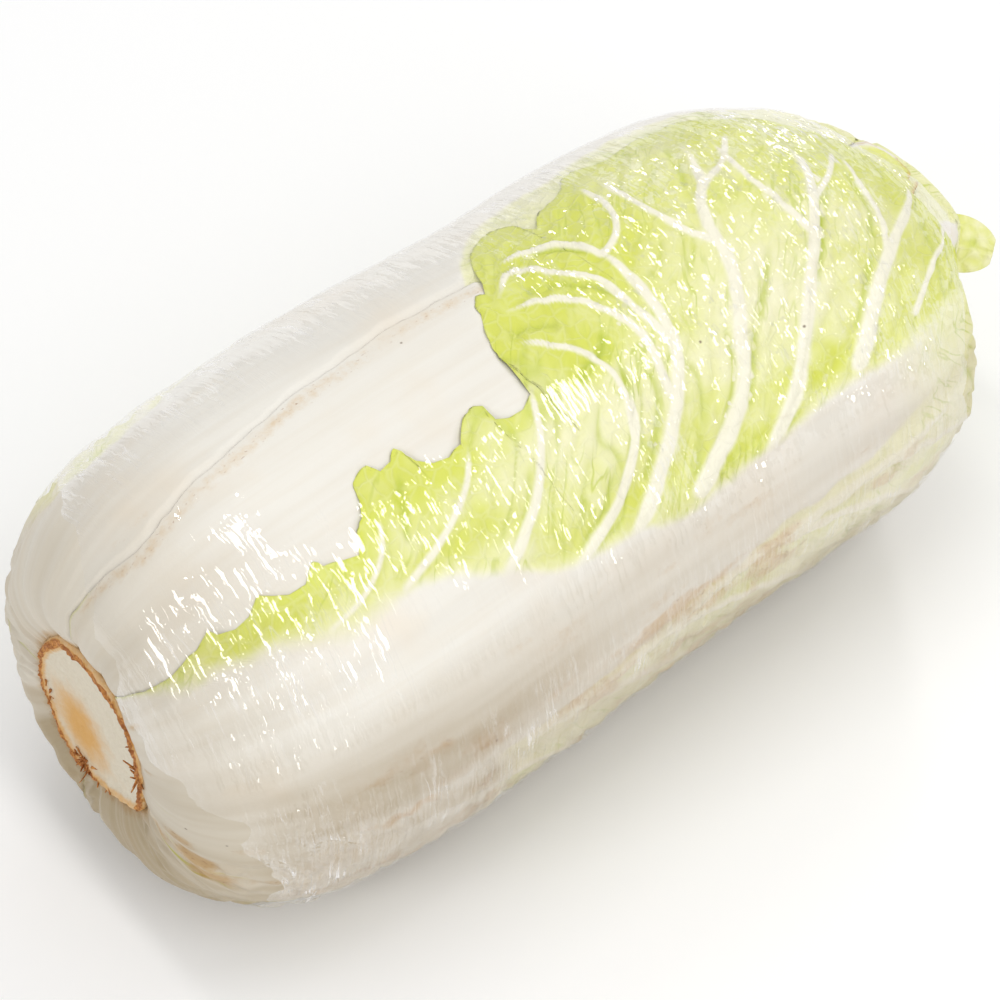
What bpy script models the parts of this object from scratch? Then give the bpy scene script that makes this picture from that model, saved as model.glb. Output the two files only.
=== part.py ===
"""Napa cabbage lying on its side in stretched clear film, as separate leaves around a cut stem.

Every leaf is a grid laid on the head's outer form. A point of that form is given by
  path   the distance along the head's side outline, from the cut stem's rim to the tip, and
  angle  the angle round the axis, 0 at the front (-Y), 90 at the top and 180 at the back,
and by a depth under the form. Leaves are laid from the outermost inwards, and each one dips
under those already laid, so they overlap like the real ones and never meet.

Metres, +Z up, axis along X with the cut stem at -X. The head rests on Z = 0.
"""
import math

import bmesh
import bpy
import numpy as np
from mathutils import Vector

# --- driving dimensions -------------------------------------------------------------------
HEAD_NAME = "napa_cabbage"
AXIS_HEIGHT = 0.070              # axis above the surface; less than the radius, so the base is flat
BUTT_X = -0.1598                 # where the cut face stands, so that the length is centred on X = 0

# Side outline of the wrapped head: distance from the cut face, radius.
OUTLINE = (
    (0.0035, 0.0290), (0.0005, 0.0380), (0.0012, 0.0484), (0.0080, 0.0584), (0.0200, 0.0664),
    (0.0400, 0.0732), (0.0680, 0.0763), (0.1180, 0.0764), (0.1680, 0.0741), (0.2180, 0.0734),
    (0.2580, 0.0687), (0.2880, 0.0527), (0.3060, 0.0316), (0.3160, 0.0090),
)
# The axis bows a little to the side: distance from the cut face, shift along Y.
BOW = ((0.0, -0.0040), (0.060, -0.0030), (0.150, 0.0020), (0.240, 0.0050), (0.316, -0.0040))

FILM_THICKNESS = 0.0004          # several turns of a film about 0.02 mm thick
FILM_PATH = (0.040, 0.325)       # the film is open at both ends
FILM_GAP = 0.0011                # from the film to the leaves

LEAF_GAP = 0.0008                # between leaves that overlap
BLADE_THICKNESS = 0.0014
RIB_THICKNESS = 0.0070           # the fleshy midrib, at its middle
RIB_SPREAD = 20.0                # degrees from the midrib's middle to where it has thinned out
RIB_THINNING = 0.72              # the share of its thickness that the midrib loses toward the tip
RIB_THICK_LENGTH = 0.10          # how far up the leaf it stays at its full thickness
TIP_START = 0.80                 # the share of a leaf's length at which its tip starts to round
TIP_NARROWING = 0.55             # the share of its reach that rounds away
TIP_BLUNTNESS = 0.98             # under 1, so that the tip ends in an edge and not in a point

LATTICE_PATH = 0.003             # the lattice on which the layers' depths are worked out
LATTICE_ANGLE = 3.0
PATH_STEP = 0.022                # no less than a leaf's largest cell
ANGLE_STEP = 11.0
PATH_BLUR = 0.009
ANGLE_BLUR = 6.0

STEM_RADIUS = 0.0285
STEM_STRAIGHT = 0.028            # how far the stem keeps its radius before it tapers
STEM_LENGTH = 0.072
STEM_END_RADIUS = 0.010
STEM_END_DISH = 0.003            # how far the narrow end is coned
STEM_CHAMFER = 0.0015
STEM_GAP = 0.0004
ROUND_STEPS = 32

FILM_ROWS = 17
FILM_COLUMNS = 40
HEART_SEGMENTS = 32
HEART_RINGS = 20
HEART_PATH = (0.004, 0.366)
HEART_GAP = 0.0022               # more than the leaves' own, for their coarse rows round the base

WELD_DISTANCE = 0.00005
SLOPE_STEP = 0.0005              # the step over which the outline's slope is measured
POLE_ZONE = 0.0001               # a sphere's vertices nearer its ends than this are its poles


def leaf(name, angle, low, high, path, rib=RIB_THICKNESS, gap=LEAF_GAP, step=None, cells=(11, 15)):
    """One leaf's layout: middle angle, reach to each side in degrees, path range and rib."""
    return {"name": name, "angle": angle, "low": low, "high": high, "path": path,
            "rib": rib, "gap": gap, "step": step, "cells": cells}


# From the outermost inwards. A step widens the blade's high side between two paths.
WRAPPER_LEAVES = (
    leaf("wrapper_leaf_front", 20.0, 64.0, 48.0, (0.0, 0.352), gap=0.0017,
         step=(0.145, 0.225, 98.0), cells=(18, 24)),
    leaf("wrapper_leaf_back", 150.0, 47.0, 58.0, (0.0, 0.345)),
    leaf("wrapper_leaf_underside", -66.0, 50.0, 46.0, (0.0, 0.340), rib=0.0055),
    leaf("wrapper_leaf_top", 86.0, 46.0, 46.0, (0.0, 0.335)),
    leaf("wrapper_leaf_rear_low", 226.0, 54.0, 54.0, (0.0, 0.335), rib=0.0055),
)
TIP_LEAVES = (
    leaf("tip_leaf_browned", 98.0, 46.0, 40.0, (0.225, 0.362), rib=0.0026),
)
INNER_LEAVES = (
    leaf("inner_leaf_front_high", 56.0, 50.0, 50.0, (0.0, 0.345), rib=0.0050),
    leaf("inner_leaf_back_low", 200.0, 50.0, 50.0, (0.0, 0.340), rib=0.0050),
    leaf("inner_leaf_front_low", -16.0, 50.0, 50.0, (0.0, 0.335), rib=0.0050),
    leaf("inner_leaf_back_high", 128.0, 50.0, 50.0, (0.0, 0.335), rib=0.0050),
    leaf("inner_leaf_underside", 272.0, 48.0, 48.0, (0.0, 0.335), rib=0.0050),
)

# The curled leaf tip that stands out past the wrapper leaves, from its root outwards.
LOBE_ROOT = (BUTT_X + 0.3083, -0.0140, 0.0860)
LOBE_OUTWARD = (0.45, -0.89, 0.05)
LOBE_SIDEWAYS = (0.06, 0.20, 0.95)
LOBE_WIDTH = 0.018
LOBE_LENGTH = 0.0145
LOBE_THICKNESS = 0.0016
LOBE_CUP = 0.0016
LOBE_STEPS = 7
LOBE_ROUNDING = (-0.6, 0.9)      # the stretch of a unit circle's height that gives the flap's width


# Linear colours and roughnesses.
FILM_COLOUR = (0.93, 0.94, 0.95)
WHITE = (0.84, 0.80, 0.70)
GREEN = (0.70, 0.74, 0.30)
PALE = (0.82, 0.81, 0.52)
CUT_FACE_COLOUR = (0.72, 0.55, 0.36)
LEAF_ROUGHNESS = 0.45
FILM_ROUGHNESS = 0.1
CUT_ROUGHNESS = 0.7


# --- the head's form ------------------------------------------------------------------------
def spline(knots, values, at):
    """Cubic curve through values at knots, with slopes taken from the neighbouring points."""
    knots = np.asarray(knots, float)
    values = np.asarray(values, float)
    slopes = np.gradient(values, knots, axis=0)
    at = np.asarray(at, float)
    index = np.clip(np.searchsorted(knots, at) - 1, 0, len(knots) - 2)
    width = knots[index + 1] - knots[index]
    t = (at - knots[index]) / width
    if values.ndim > 1:
        t = t[..., None]
        width = width[..., None]
    return ((2 * t**3 - 3 * t**2 + 1) * values[index]
            + (t**3 - 2 * t**2 + t) * width * slopes[index]
            + (3 * t**2 - 2 * t**3) * values[index + 1]
            + (t**3 - t**2) * width * slopes[index + 1])


OUTLINE_POINTS = np.array(OUTLINE)
OUTLINE_PATH = np.concatenate(
    [[0.0], np.cumsum(np.linalg.norm(np.diff(OUTLINE_POINTS, axis=0), axis=1))])


def outline_at(path):
    """Point and outward normal (distance from the cut face, radius) of the side outline."""
    point = spline(OUTLINE_PATH, OUTLINE_POINTS, path)
    along = (spline(OUTLINE_PATH, OUTLINE_POINTS, path + SLOPE_STEP)
             - spline(OUTLINE_PATH, OUTLINE_POINTS, path - SLOPE_STEP))
    along /= np.linalg.norm(along, axis=-1, keepdims=True)
    normal = np.stack([-along[..., 1], along[..., 0]], axis=-1)
    return point, normal


def on_head(path, angle, depth):
    """Points at a depth under the head's form, with the base pressed flat on the surface."""
    point, normal = outline_at(path)
    inside = point - normal * depth[..., None]
    turn = np.radians(angle)
    bow = spline(*zip(*BOW), inside[..., 0])
    x = BUTT_X + inside[..., 0]
    y = bow - inside[..., 1] * np.cos(turn)
    z = AXIS_HEIGHT + inside[..., 1] * np.sin(turn)
    return np.stack([x, y, np.maximum(z, depth)], axis=-1)


def smoothstep(value, low, high):
    """0 below low, 1 above high, and a smooth rise between them."""
    t = np.clip((value - low) / (high - low), 0.0, 1.0)
    return t * t * (3 - 2 * t)


def turn_between(angle, middle):
    """Signed difference of two angles in degrees, from -180 to 180."""
    return (angle - middle + 180.0) % 360.0 - 180.0


# --- leaves: how far they reach, how thick they are, how deep they lie --------------------------
def leaf_reach(layout, path):
    """Reach in degrees to the low and high side at a path, narrowing to a rounded tip."""
    start, end = layout["path"]
    rounding = start + TIP_START * (end - start)
    toward_tip = np.clip((path - rounding) / (end - rounding), 0.0, 1.0)
    taper = 1.0 - TIP_NARROWING * (1.0 - np.sqrt(1.0 - TIP_BLUNTNESS * toward_tip**2))
    low = np.full_like(path, layout["low"])
    high = np.full_like(path, layout["high"])
    if layout["step"]:
        before, after, reach = layout["step"]
        high = high + (reach - high) * smoothstep(path, before, after)
    return low * taper, high * taper


def leaf_thickness(layout, path, angle):
    """The midrib is fleshy at the stem and thins toward the tip; the blade is thin."""
    start, end = layout["path"]
    along = 1.0 - RIB_THINNING * smoothstep(path, start + RIB_THICK_LENGTH, end)
    side = np.exp(-(turn_between(angle, layout["angle"]) / RIB_SPREAD)**2)
    return BLADE_THICKNESS + (layout["rib"] - BLADE_THICKNESS) * along * side


class TakenSpace:
    """How deep under the head's form the space is taken, on a lattice of path and angle."""

    def __init__(self):
        self.paths = np.arange(0.0, OUTLINE_PATH[-1] + LATTICE_PATH, LATTICE_PATH)
        self.angles = np.arange(0.0, 360.0, LATTICE_ANGLE)
        self.depth = np.full((len(self.paths), len(self.angles)), FILM_THICKNESS + FILM_GAP)

    def shifted(self, depth, rows, columns):
        """The lattice moved by whole steps; it wraps round the head and repeats at its ends."""
        rows_from = np.clip(np.arange(len(self.paths)) + rows, 0, len(self.paths) - 1)
        return np.roll(depth[rows_from], columns, axis=1)

    def clear_depth(self):
        """A smooth depth that passes under everything taken, also between a leaf's vertices."""
        rows = math.ceil((PATH_STEP + PATH_BLUR) / LATTICE_PATH)
        columns = math.ceil((ANGLE_STEP + ANGLE_BLUR) / LATTICE_ANGLE)
        deepest = self.depth
        for row in range(-rows, rows + 1):
            deepest = np.maximum(deepest, self.shifted(self.depth, row, 0))
        across = deepest
        for column in range(-columns, columns + 1):
            deepest = np.maximum(deepest, self.shifted(across, 0, column))
        rows = int(PATH_BLUR / LATTICE_PATH)
        columns = int(ANGLE_BLUR / LATTICE_ANGLE)
        blurred = sum(self.shifted(deepest, row, 0) for row in range(-rows, rows + 1)) / (2 * rows + 1)
        return sum(self.shifted(blurred, 0, column)
                   for column in range(-columns, columns + 1)) / (2 * columns + 1)

    def read(self, depth, path, angle):
        """A lattice's value at any path and angle, by the four lattice points around it."""
        row = np.clip(path / LATTICE_PATH, 0.0, len(self.paths) - 1.001)
        column = (angle / LATTICE_ANGLE) % len(self.angles)
        low_row = row.astype(int)
        low_column = column.astype(int)
        next_column = (low_column + 1) % len(self.angles)
        down = row - low_row
        over = column - low_column
        near = depth[low_row, low_column] * (1 - over) + depth[low_row, next_column] * over
        far = depth[low_row + 1, low_column] * (1 - over) + depth[low_row + 1, next_column] * over
        return near * (1 - down) + far * down

    def lay(self, layout):
        """Take the space of one leaf and return the depth map of its outer side."""
        outer = self.clear_depth()
        path, angle = np.meshgrid(self.paths, self.angles, indexing="ij")
        start, end = layout["path"]
        low, high = leaf_reach(layout, np.clip(path, start, end))
        turn = turn_between(angle, layout["angle"] + 0.5 * (high - low))
        covered = (np.abs(turn) <= 0.5 * (high + low)) & (path >= start) & (path <= end)
        below = outer + leaf_thickness(layout, path, angle) + layout["gap"]
        self.depth = np.where(covered, np.maximum(self.depth, below), self.depth)
        return outer


def two_sided(name, columns, rows, outer_at, inner_at, round_about=False):
    """A closed body between an outer and an inner side, each a grid bent to the given points.

    outer_at and inner_at turn places across and along the grid, from 0 to 1, into points. The
    grids' rims are bridged; a grid that runs round the head meets itself and is welded there.
    """
    shape = bmesh.new()
    sides = []
    for points_at in (outer_at, inner_at):
        grid = bmesh.ops.create_grid(shape, x_segments=columns, y_segments=rows, size=0.5)["verts"]
        place = np.array([vertex.co[:2] for vertex in grid]) + 0.5
        for vertex, point in zip(grid, points_at(place[:, 0], place[:, 1])):
            vertex.co = point
        sides.append(grid)
    if round_about:
        bmesh.ops.remove_doubles(shape, verts=sides[0], dist=WELD_DISTANCE)
        inner = [vertex for vertex in sides[1] if vertex.is_valid]
        bmesh.ops.remove_doubles(shape, verts=inner, dist=WELD_DISTANCE)
        bridge_open_ends(shape)
    else:
        bmesh.ops.bridge_loops(shape, edges=[edge for edge in shape.edges if edge.is_boundary])
    bmesh.ops.recalc_face_normals(shape, faces=shape.faces)
    mesh = bpy.data.meshes.new(name)
    shape.to_mesh(mesh)
    shape.free()
    body = bpy.data.objects.new(name, mesh)
    bpy.context.scene.collection.objects.link(body)
    return body


def bridge_open_ends(shape):
    """Join the outer and inner rim at each end of a tube."""
    rims = [edge for edge in shape.edges if edge.is_boundary]
    middle = sum(edge.verts[0].co.x for edge in rims) / len(rims)
    for end in (-1, 1):
        rim = [edge for edge in rims if (edge.verts[0].co.x - middle) * end > 0]
        bmesh.ops.bridge_loops(shape, edges=rim)


def make_leaf(layout, taken, colour):
    """One leaf: its outer side under the leaves before it, its inner side a thickness deeper."""
    start, end = layout["path"]
    outer = taken.lay(layout)

    def side(share_of_thickness):
        def points_at(across, along):
            path = start + (end - start) * along
            low, high = leaf_reach(layout, path)
            angle = layout["angle"] - low + (low + high) * across
            thickness = leaf_thickness(layout, path, angle)
            return on_head(path, angle, taken.read(outer, path, angle) + share_of_thickness * thickness)
        return points_at

    body = two_sided(layout["name"], *layout["cells"], side(0.0), side(1.0))
    return finish(body, colour, LEAF_ROUGHNESS)


# --- the other pieces --------------------------------------------------------------------------
def make_film(colour):
    """The stretched film: a tube on the head's form, open at both ends."""
    def side(depth):
        def points_at(across, along):
            path = FILM_PATH[0] + (FILM_PATH[1] - FILM_PATH[0]) * along
            return on_head(path, 90.0 + 360.0 * across, np.full_like(path, depth))
        return points_at

    film = two_sided("film_wrap", FILM_COLUMNS, FILM_ROWS, side(0.0), side(FILM_THICKNESS),
                     round_about=True)
    return finish(film, colour, FILM_ROUGHNESS)


def turned(name, profile, steps=ROUND_STEPS):
    """A solid turned round its own Z from (radius, height) points that run from top to bottom."""
    mesh = bpy.data.meshes.new(name)
    points = [(radius, 0.0, height) for radius, height in profile]
    edges = [(index, index + 1) for index in range(len(points) - 1)]
    mesh.from_pydata(points, edges, [])
    body = bpy.data.objects.new(name, mesh)
    bpy.context.scene.collection.objects.link(body)
    screw = body.modifiers.new("turn", "SCREW")
    screw.steps = steps
    screw.render_steps = steps
    screw.use_merge_vertices = True
    screw.merge_threshold = 0.0001
    return body


def stem_profile(gap):
    """Half outline of the stem, from its cut face down to its narrow end in the head."""
    radius = STEM_RADIUS + gap
    return (
        (0.0, 0.0), (radius - STEM_CHAMFER, 0.0), (radius, -STEM_CHAMFER), (radius, -STEM_STRAIGHT),
        (STEM_END_RADIUS + gap, -STEM_LENGTH + STEM_END_DISH - gap), (0.0, -STEM_LENGTH - gap),
    )


def stand_at_butt(body):
    """Turn a body made along its own Z so that its top is the cut face at -X."""
    body.rotation_euler = (0.0, math.radians(-90.0), 0.0)
    body.location = (BUTT_X, BOW[0][1], AXIS_HEIGHT)
    return body


def make_stem(colour):
    """The cut stem, a short cone that the leaves are set around."""
    return finish(stand_at_butt(turned("cut_stem", stem_profile(0.0))), colour, CUT_ROUGHNESS)


def make_heart(taken, colour, cutters):
    """The closely folded leaves inside, as the one tight mass that shows at the tip."""
    bpy.ops.mesh.primitive_uv_sphere_add(segments=HEART_SEGMENTS, ring_count=HEART_RINGS, radius=1.0)
    heart = bpy.context.object
    heart.name = "heart_leaves"
    heart.data.name = "heart_leaves"
    unit = np.empty(len(heart.data.vertices) * 3)
    heart.data.vertices.foreach_get("co", unit)
    unit = unit.reshape(-1, 3)
    height = np.arccos(np.clip(unit[:, 2], -1.0, 1.0)) / math.pi
    angle = np.degrees(np.arctan2(unit[:, 1], unit[:, 0]))
    ring_share = 1.0 / HEART_RINGS
    share = np.clip((height - ring_share) / (1.0 - 2.0 * ring_share), 0.0, 1.0)
    path = HEART_PATH[0] + (HEART_PATH[1] - HEART_PATH[0]) * share
    points = on_head(path, angle, taken.read(taken.clear_depth(), path, angle) + HEART_GAP)
    poles = (height < POLE_ZONE, height > 1.0 - POLE_ZONE)
    for pole, ring_end in zip(poles, (share <= 0.0, share >= 1.0)):
        rim = points[ring_end & ~pole]
        points[pole] = rim.mean(axis=0)
        points[pole, 0] = rim[:, 0].max()
    heart.data.vertices.foreach_set("co", points.astype(np.float32).ravel())
    heart.data.update()
    cutter = stand_at_butt(turned("stem_recess", stem_profile(STEM_GAP)))
    cutter.hide_render = True
    cutter.display_type = "WIRE"
    move_to(cutter, cutters)
    recess = heart.modifiers.new("stem_recess", "BOOLEAN")
    recess.operation = "DIFFERENCE"
    recess.solver = "EXACT"
    recess.object = cutter
    return finish(heart, colour, LEAF_ROUGHNESS)


def make_lobe(colour):
    """The curled leaf tip that stands out at the end of the head, a round cupped flap."""
    outward = Vector(LOBE_OUTWARD).normalized()
    normal = outward.cross(Vector(LOBE_SIDEWAYS)).normalized()
    sideways = normal.cross(outward)
    frame = np.array([sideways, outward, normal])

    def side(drop):
        def points_at(across, along):
            height = LOBE_ROUNDING[0] + (LOBE_ROUNDING[1] - LOBE_ROUNDING[0]) * along
            half = 0.5 * LOBE_WIDTH * np.sqrt(1.0 - height**2)
            reach = 2.0 * across - 1.0
            cup = LOBE_CUP * (reach**2 + along**2)
            local = np.stack([reach * half, LOBE_LENGTH * along, -cup - drop], axis=-1)
            return np.array(LOBE_ROOT) + local @ frame
        return points_at

    lobe = two_sided("tip_leaf_curled", LOBE_STEPS, LOBE_STEPS, side(0.0), side(LOBE_THICKNESS))
    return finish(lobe, colour, LEAF_ROUGHNESS)


# --- scene ---------------------------------------------------------------------------------------
def finish(body, colour, roughness):
    """Shade a piece smooth and give it a material of its own."""
    material = bpy.data.materials.new(body.name + "_material")
    material.use_nodes = True
    surface = material.node_tree.nodes["Principled BSDF"]
    surface.inputs["Base Color"].default_value = (*colour, 1.0)
    surface.inputs["Roughness"].default_value = roughness
    surface.inputs["Metallic"].default_value = 0.0
    body.data.materials.clear()
    body.data.materials.append(material)
    body.data.shade_smooth()
    return body


def move_to(body, collection):
    """Put a body in one collection only."""
    for owner in list(body.users_collection):
        owner.objects.unlink(body)
    collection.objects.link(body)


def new_collection(name):
    """A collection of the given name under the scene's own."""
    collection = bpy.data.collections.new(name)
    bpy.context.scene.collection.children.link(collection)
    return collection


def main():
    """Build the head from the outside inwards."""
    for existing in list(bpy.data.objects):
        bpy.data.objects.remove(existing)
    head = new_collection(HEAD_NAME)
    cutters = new_collection("cutters")
    taken = TakenSpace()
    pieces = [make_film(FILM_COLOUR)]
    for layout, colour in zip(WRAPPER_LEAVES, (GREEN, WHITE, WHITE, WHITE, PALE)):
        pieces.append(make_leaf(layout, taken, colour))
    for layout in TIP_LEAVES + INNER_LEAVES:
        pieces.append(make_leaf(layout, taken, PALE))
    pieces.append(make_heart(taken, PALE, cutters))
    pieces.append(make_lobe(GREEN))
    pieces.append(make_stem(CUT_FACE_COLOUR))
    for piece in pieces:
        move_to(piece, head)


main()
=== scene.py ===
"""Napa cabbage head in stretched clear film: leaves, cut stem, film and a studio around them.

A place on the head is given by its path, the distance along the head's side outline from the
cut stem's rim to the tip, by its angle round the axis, 0 at the front (-Y), 90 at the top and
180 at the back, and by its depth under the head's outer form. Every leaf and the film are grids
of such places. Lines drawn on a leaf are lists of (along, angle): millimetres past the turn from
the base to the side, and degrees.
"""
import math

import bmesh
import bpy
import numpy as np
from bpy.props import FloatProperty, FloatVectorProperty, PointerProperty
from mathutils import Matrix, Vector


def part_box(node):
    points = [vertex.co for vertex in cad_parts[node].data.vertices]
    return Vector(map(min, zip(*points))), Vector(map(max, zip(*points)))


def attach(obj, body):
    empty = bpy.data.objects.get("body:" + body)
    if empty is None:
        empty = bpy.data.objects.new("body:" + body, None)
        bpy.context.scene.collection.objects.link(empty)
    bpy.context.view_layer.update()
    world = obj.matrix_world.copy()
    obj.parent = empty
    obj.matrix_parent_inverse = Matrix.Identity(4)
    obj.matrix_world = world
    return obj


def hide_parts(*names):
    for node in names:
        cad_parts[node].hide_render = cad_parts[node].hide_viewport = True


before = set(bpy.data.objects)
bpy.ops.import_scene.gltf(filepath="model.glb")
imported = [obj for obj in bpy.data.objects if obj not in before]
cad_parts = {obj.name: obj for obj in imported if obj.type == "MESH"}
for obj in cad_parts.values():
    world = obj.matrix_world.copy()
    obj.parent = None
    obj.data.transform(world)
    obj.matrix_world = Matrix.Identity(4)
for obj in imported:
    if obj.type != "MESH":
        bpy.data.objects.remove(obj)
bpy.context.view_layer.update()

bl_info = {
    "name": "Napa cabbage in clear film",
    "version": (1, 0, 0),
    "blender": (4, 5, 0),
    "location": "View3D > Sidebar > Cabbage",
    "description": "Builds a film-wrapped napa cabbage head around its fixed frame",
    "category": "Add Mesh",
}

# --- the head's outer form, as the frame's solids have it ---
STEM_LOW, STEM_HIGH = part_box("cut_stem")
BUTT_X = STEM_LOW.x
AXIS_HEIGHT = 0.5 * (STEM_LOW.z + STEM_HIGH.z)
# The side outline as (distance from the butt, radius), from the stem's rim to the tip, and how far
# the axis bows to the back at each distance.
OUTLINE = np.array((
    (0.0035, 0.0290), (0.0005, 0.0380), (0.0012, 0.0484), (0.0080, 0.0584), (0.0200, 0.0664),
    (0.0400, 0.0732), (0.0680, 0.0763), (0.1180, 0.0764), (0.1680, 0.0741), (0.2180, 0.0734),
    (0.2580, 0.0687), (0.2880, 0.0527), (0.3060, 0.0316), (0.3160, 0.0090),
))
BOW = np.array((
    (0.0, -0.0040), (0.060, -0.0030), (0.150, 0.0020), (0.240, 0.0050), (0.316, -0.0040),
))
SLOPE_STEP = 0.0005
# The cut stem stands off the axis and isn't round: its middle (y, z), and (angle, radius) round it.
STUMP_MIDDLE = (0.0062, -0.0062)
STUMP_OUTLINE = np.array((
    (-180, 0.0285), (-150, 0.0310), (-121, 0.0325), (-93, 0.0270), (-64, 0.0248), (-36, 0.0255),
    (-7, 0.0238), (29, 0.0268), (45, 0.0296), (74, 0.0322), (95, 0.0318), (115, 0.0312),
    (138, 0.0285), (169, 0.0280), (180, 0.0285),
))
BUTT_LEAN_END = 0.034  # the path by which the form has left the cut stem's outline
# The low front of the tip is cut shorter than the outline: past the start of the cut, this share of
# what is left is taken off, between two angles with a soft margin, over an eased start.
BLUNT_START, BLUNT_SHARE, BLUNT_EASE = 0.282, 0.70, 0.003
BLUNT_ANGLES = (-60.0, 45.0, 22.0)
LEAST_HEIGHT = 0.0002  # nothing lies lower than this over the surface
SIDE_START = 0.0277  # the path at which the base has turned into the side
MEAN_RADIUS = 0.0735
DEGREE = MEAN_RADIUS * math.pi / 180.0  # metres round the head for one degree
NOISE_SIZE = 64  # places after which a noise repeats
FAR = 9.0  # farther than any distance that is looked for


def spline(knots, values, at):
    """Cubic curve through values at knots, with slopes taken from the neighbouring points."""
    knots = np.asarray(knots, float)
    values = np.asarray(values, float)
    slopes = np.gradient(values, knots, axis=0)
    at = np.clip(np.asarray(at, float), knots[0], knots[-1])
    index = np.clip(np.searchsorted(knots, at) - 1, 0, len(knots) - 2)
    width = knots[index + 1] - knots[index]
    t = (at - knots[index]) / width
    if values.ndim > 1:
        t = t[..., None]
        width = width[..., None]
    return ((2 * t**3 - 3 * t**2 + 1) * values[index]
            + (t**3 - 2 * t**2 + t) * width * slopes[index]
            + (3 * t**2 - 2 * t**3) * values[index + 1]
            + (t**3 - t**2) * width * slopes[index + 1])


def travelled(points):
    """The length of a line of points from its start to each of them."""
    return np.concatenate([[0.0], np.cumsum(np.linalg.norm(np.diff(points, axis=0), axis=1))])


OUTLINE_PATH = travelled(OUTLINE)


def signed(angle):
    """An angle as -180 to 180 degrees."""
    return (angle + 180.0) % 360.0 - 180.0


def stump_radius(angle):
    """How far the cut stem reaches at an angle."""
    return spline(STUMP_OUTLINE[:, 0], STUMP_OUTLINE[:, 1], signed(angle))


def blunted(station, angle):
    """Stations past the start of the tip's blunt front, drawn back by a share of what is past it."""
    past = np.maximum(station - BLUNT_START, 0.0)
    front = window(signed(angle), *BLUNT_ANGLES)
    return station - BLUNT_SHARE * front * past**2 / (past + BLUNT_EASE)


def on_head(path, angle, depth):
    """Points at a depth under the form: the outline's point, moved in along its normal, is turned
    round the bowed axis by the angle, and the base is pressed flat on the surface. Toward the butt
    the form leans over to the cut stem and takes its outline; at the tip its low front is blunt."""
    point = spline(OUTLINE_PATH, OUTLINE, path)
    step = (spline(OUTLINE_PATH, OUTLINE, path + SLOPE_STEP)
            - spline(OUTLINE_PATH, OUTLINE, path - SLOPE_STEP))
    step /= np.linalg.norm(step, axis=-1, keepdims=True)
    station = point[..., 0] + step[..., 1] * depth
    radius = point[..., 1] - step[..., 0] * depth
    turn = np.radians(angle)
    lean = fall(path, 0.0, BUTT_LEAN_END)
    radius = radius + lean * (stump_radius(angle) - OUTLINE[0, 1])
    bow = spline(BOW[:, 0], BOW[:, 1], station) + STUMP_MIDDLE[0] * lean
    height = AXIS_HEIGHT + STUMP_MIDDLE[1] * lean + radius * np.sin(turn)
    x = BUTT_X + blunted(station, angle)
    y = bow - radius * np.cos(turn)
    z = np.maximum(height, np.maximum(depth, LEAST_HEIGHT))
    return np.stack([x, y, z], axis=-1)


# --- small tools on whole arrays ---
def rise(value, low, high):
    """0 below low, 1 above high, and a smooth rise between them."""
    t = np.clip((value - low) / (high - low), 0.0, 1.0)
    return t * t * (3 - 2 * t)


def fall(value, low, high):
    """1 below low, 0 above high, and a smooth fall between them."""
    return 1.0 - rise(value, low, high)


def past_turn(path, low, high):
    """A smooth rise between two distances past the turn from the base to the side."""
    return rise(path, SIDE_START + low, SIDE_START + high)


def bell(distance, width):
    """1 at no distance, falling off as the exponential of its negative square in widths."""
    return np.exp(-(distance / width)**2)


def window(value, low, high, soft):
    """1 between low and high, falling to 0 over a soft margin on both sides."""
    return rise(value, low - soft, low + soft) * fall(value, high - soft, high + soft)


def noise(x, y, seed):
    """Smooth noise from -1 to 1: random values at whole places, eased between the four nearest."""
    table = np.random.default_rng(seed).uniform(-1.0, 1.0, (NOISE_SIZE, NOISE_SIZE))
    column = np.floor(x).astype(int)
    row = np.floor(y).astype(int)
    over = rise(x - column, 0.0, 1.0)
    up = rise(y - row, 0.0, 1.0)
    column, next_column = column % NOISE_SIZE, (column + 1) % NOISE_SIZE
    row, next_row = row % NOISE_SIZE, (row + 1) % NOISE_SIZE
    near = table[row, column] * (1 - over) + table[row, next_column] * over
    far = table[next_row, column] * (1 - over) + table[next_row, next_column] * over
    return near * (1 - up) + far * up


def rough_noise(x, y, seed, octaves=3):
    """Noise at several scales, each half the size and half the height of the one before."""
    total = sum(noise(x * 2**i, y * 2**i, seed + i) / 2**i for i in range(octaves))
    return total / 1.6  # so that it seldom leaves -1 to 1


def cells(x, y, seed):
    """Distances to the nearest and second nearest of one random point per unit square."""
    table = np.random.default_rng(seed).uniform(0.1, 0.9, (NOISE_SIZE, NOISE_SIZE, 2))
    column = np.floor(x).astype(int)
    row = np.floor(y).astype(int)
    nearest = np.full(x.shape, FAR)
    second = np.full(x.shape, FAR)
    for down in (-1, 0, 1):
        for over in (-1, 0, 1):
            point = table[(row + down) % NOISE_SIZE, (column + over) % NOISE_SIZE]
            distance = np.hypot(column + over + point[..., 0] - x, row + down + point[..., 1] - y)
            second = np.minimum(second, np.maximum(nearest, distance))
            nearest = np.minimum(nearest, distance)
    return nearest, second


def to_place(points):
    """(along in millimetres, angle) to (path, angle)."""
    points = np.array(points, float)
    points[:, 0] = SIDE_START + points[:, 0] * 0.001
    return points


def angle_on(points, path):
    """The angle of a drawn line at a path."""
    return spline(points[:, 0], points[:, 1], path)


def drawn(points, count):
    """Points evenly spaced on a smooth curve through a drawn line, as (path, metres round)."""
    flat = points * (1.0, DEGREE)
    length = travelled(flat)
    return spline(length, flat, np.linspace(0.0, length[-1], count))


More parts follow.
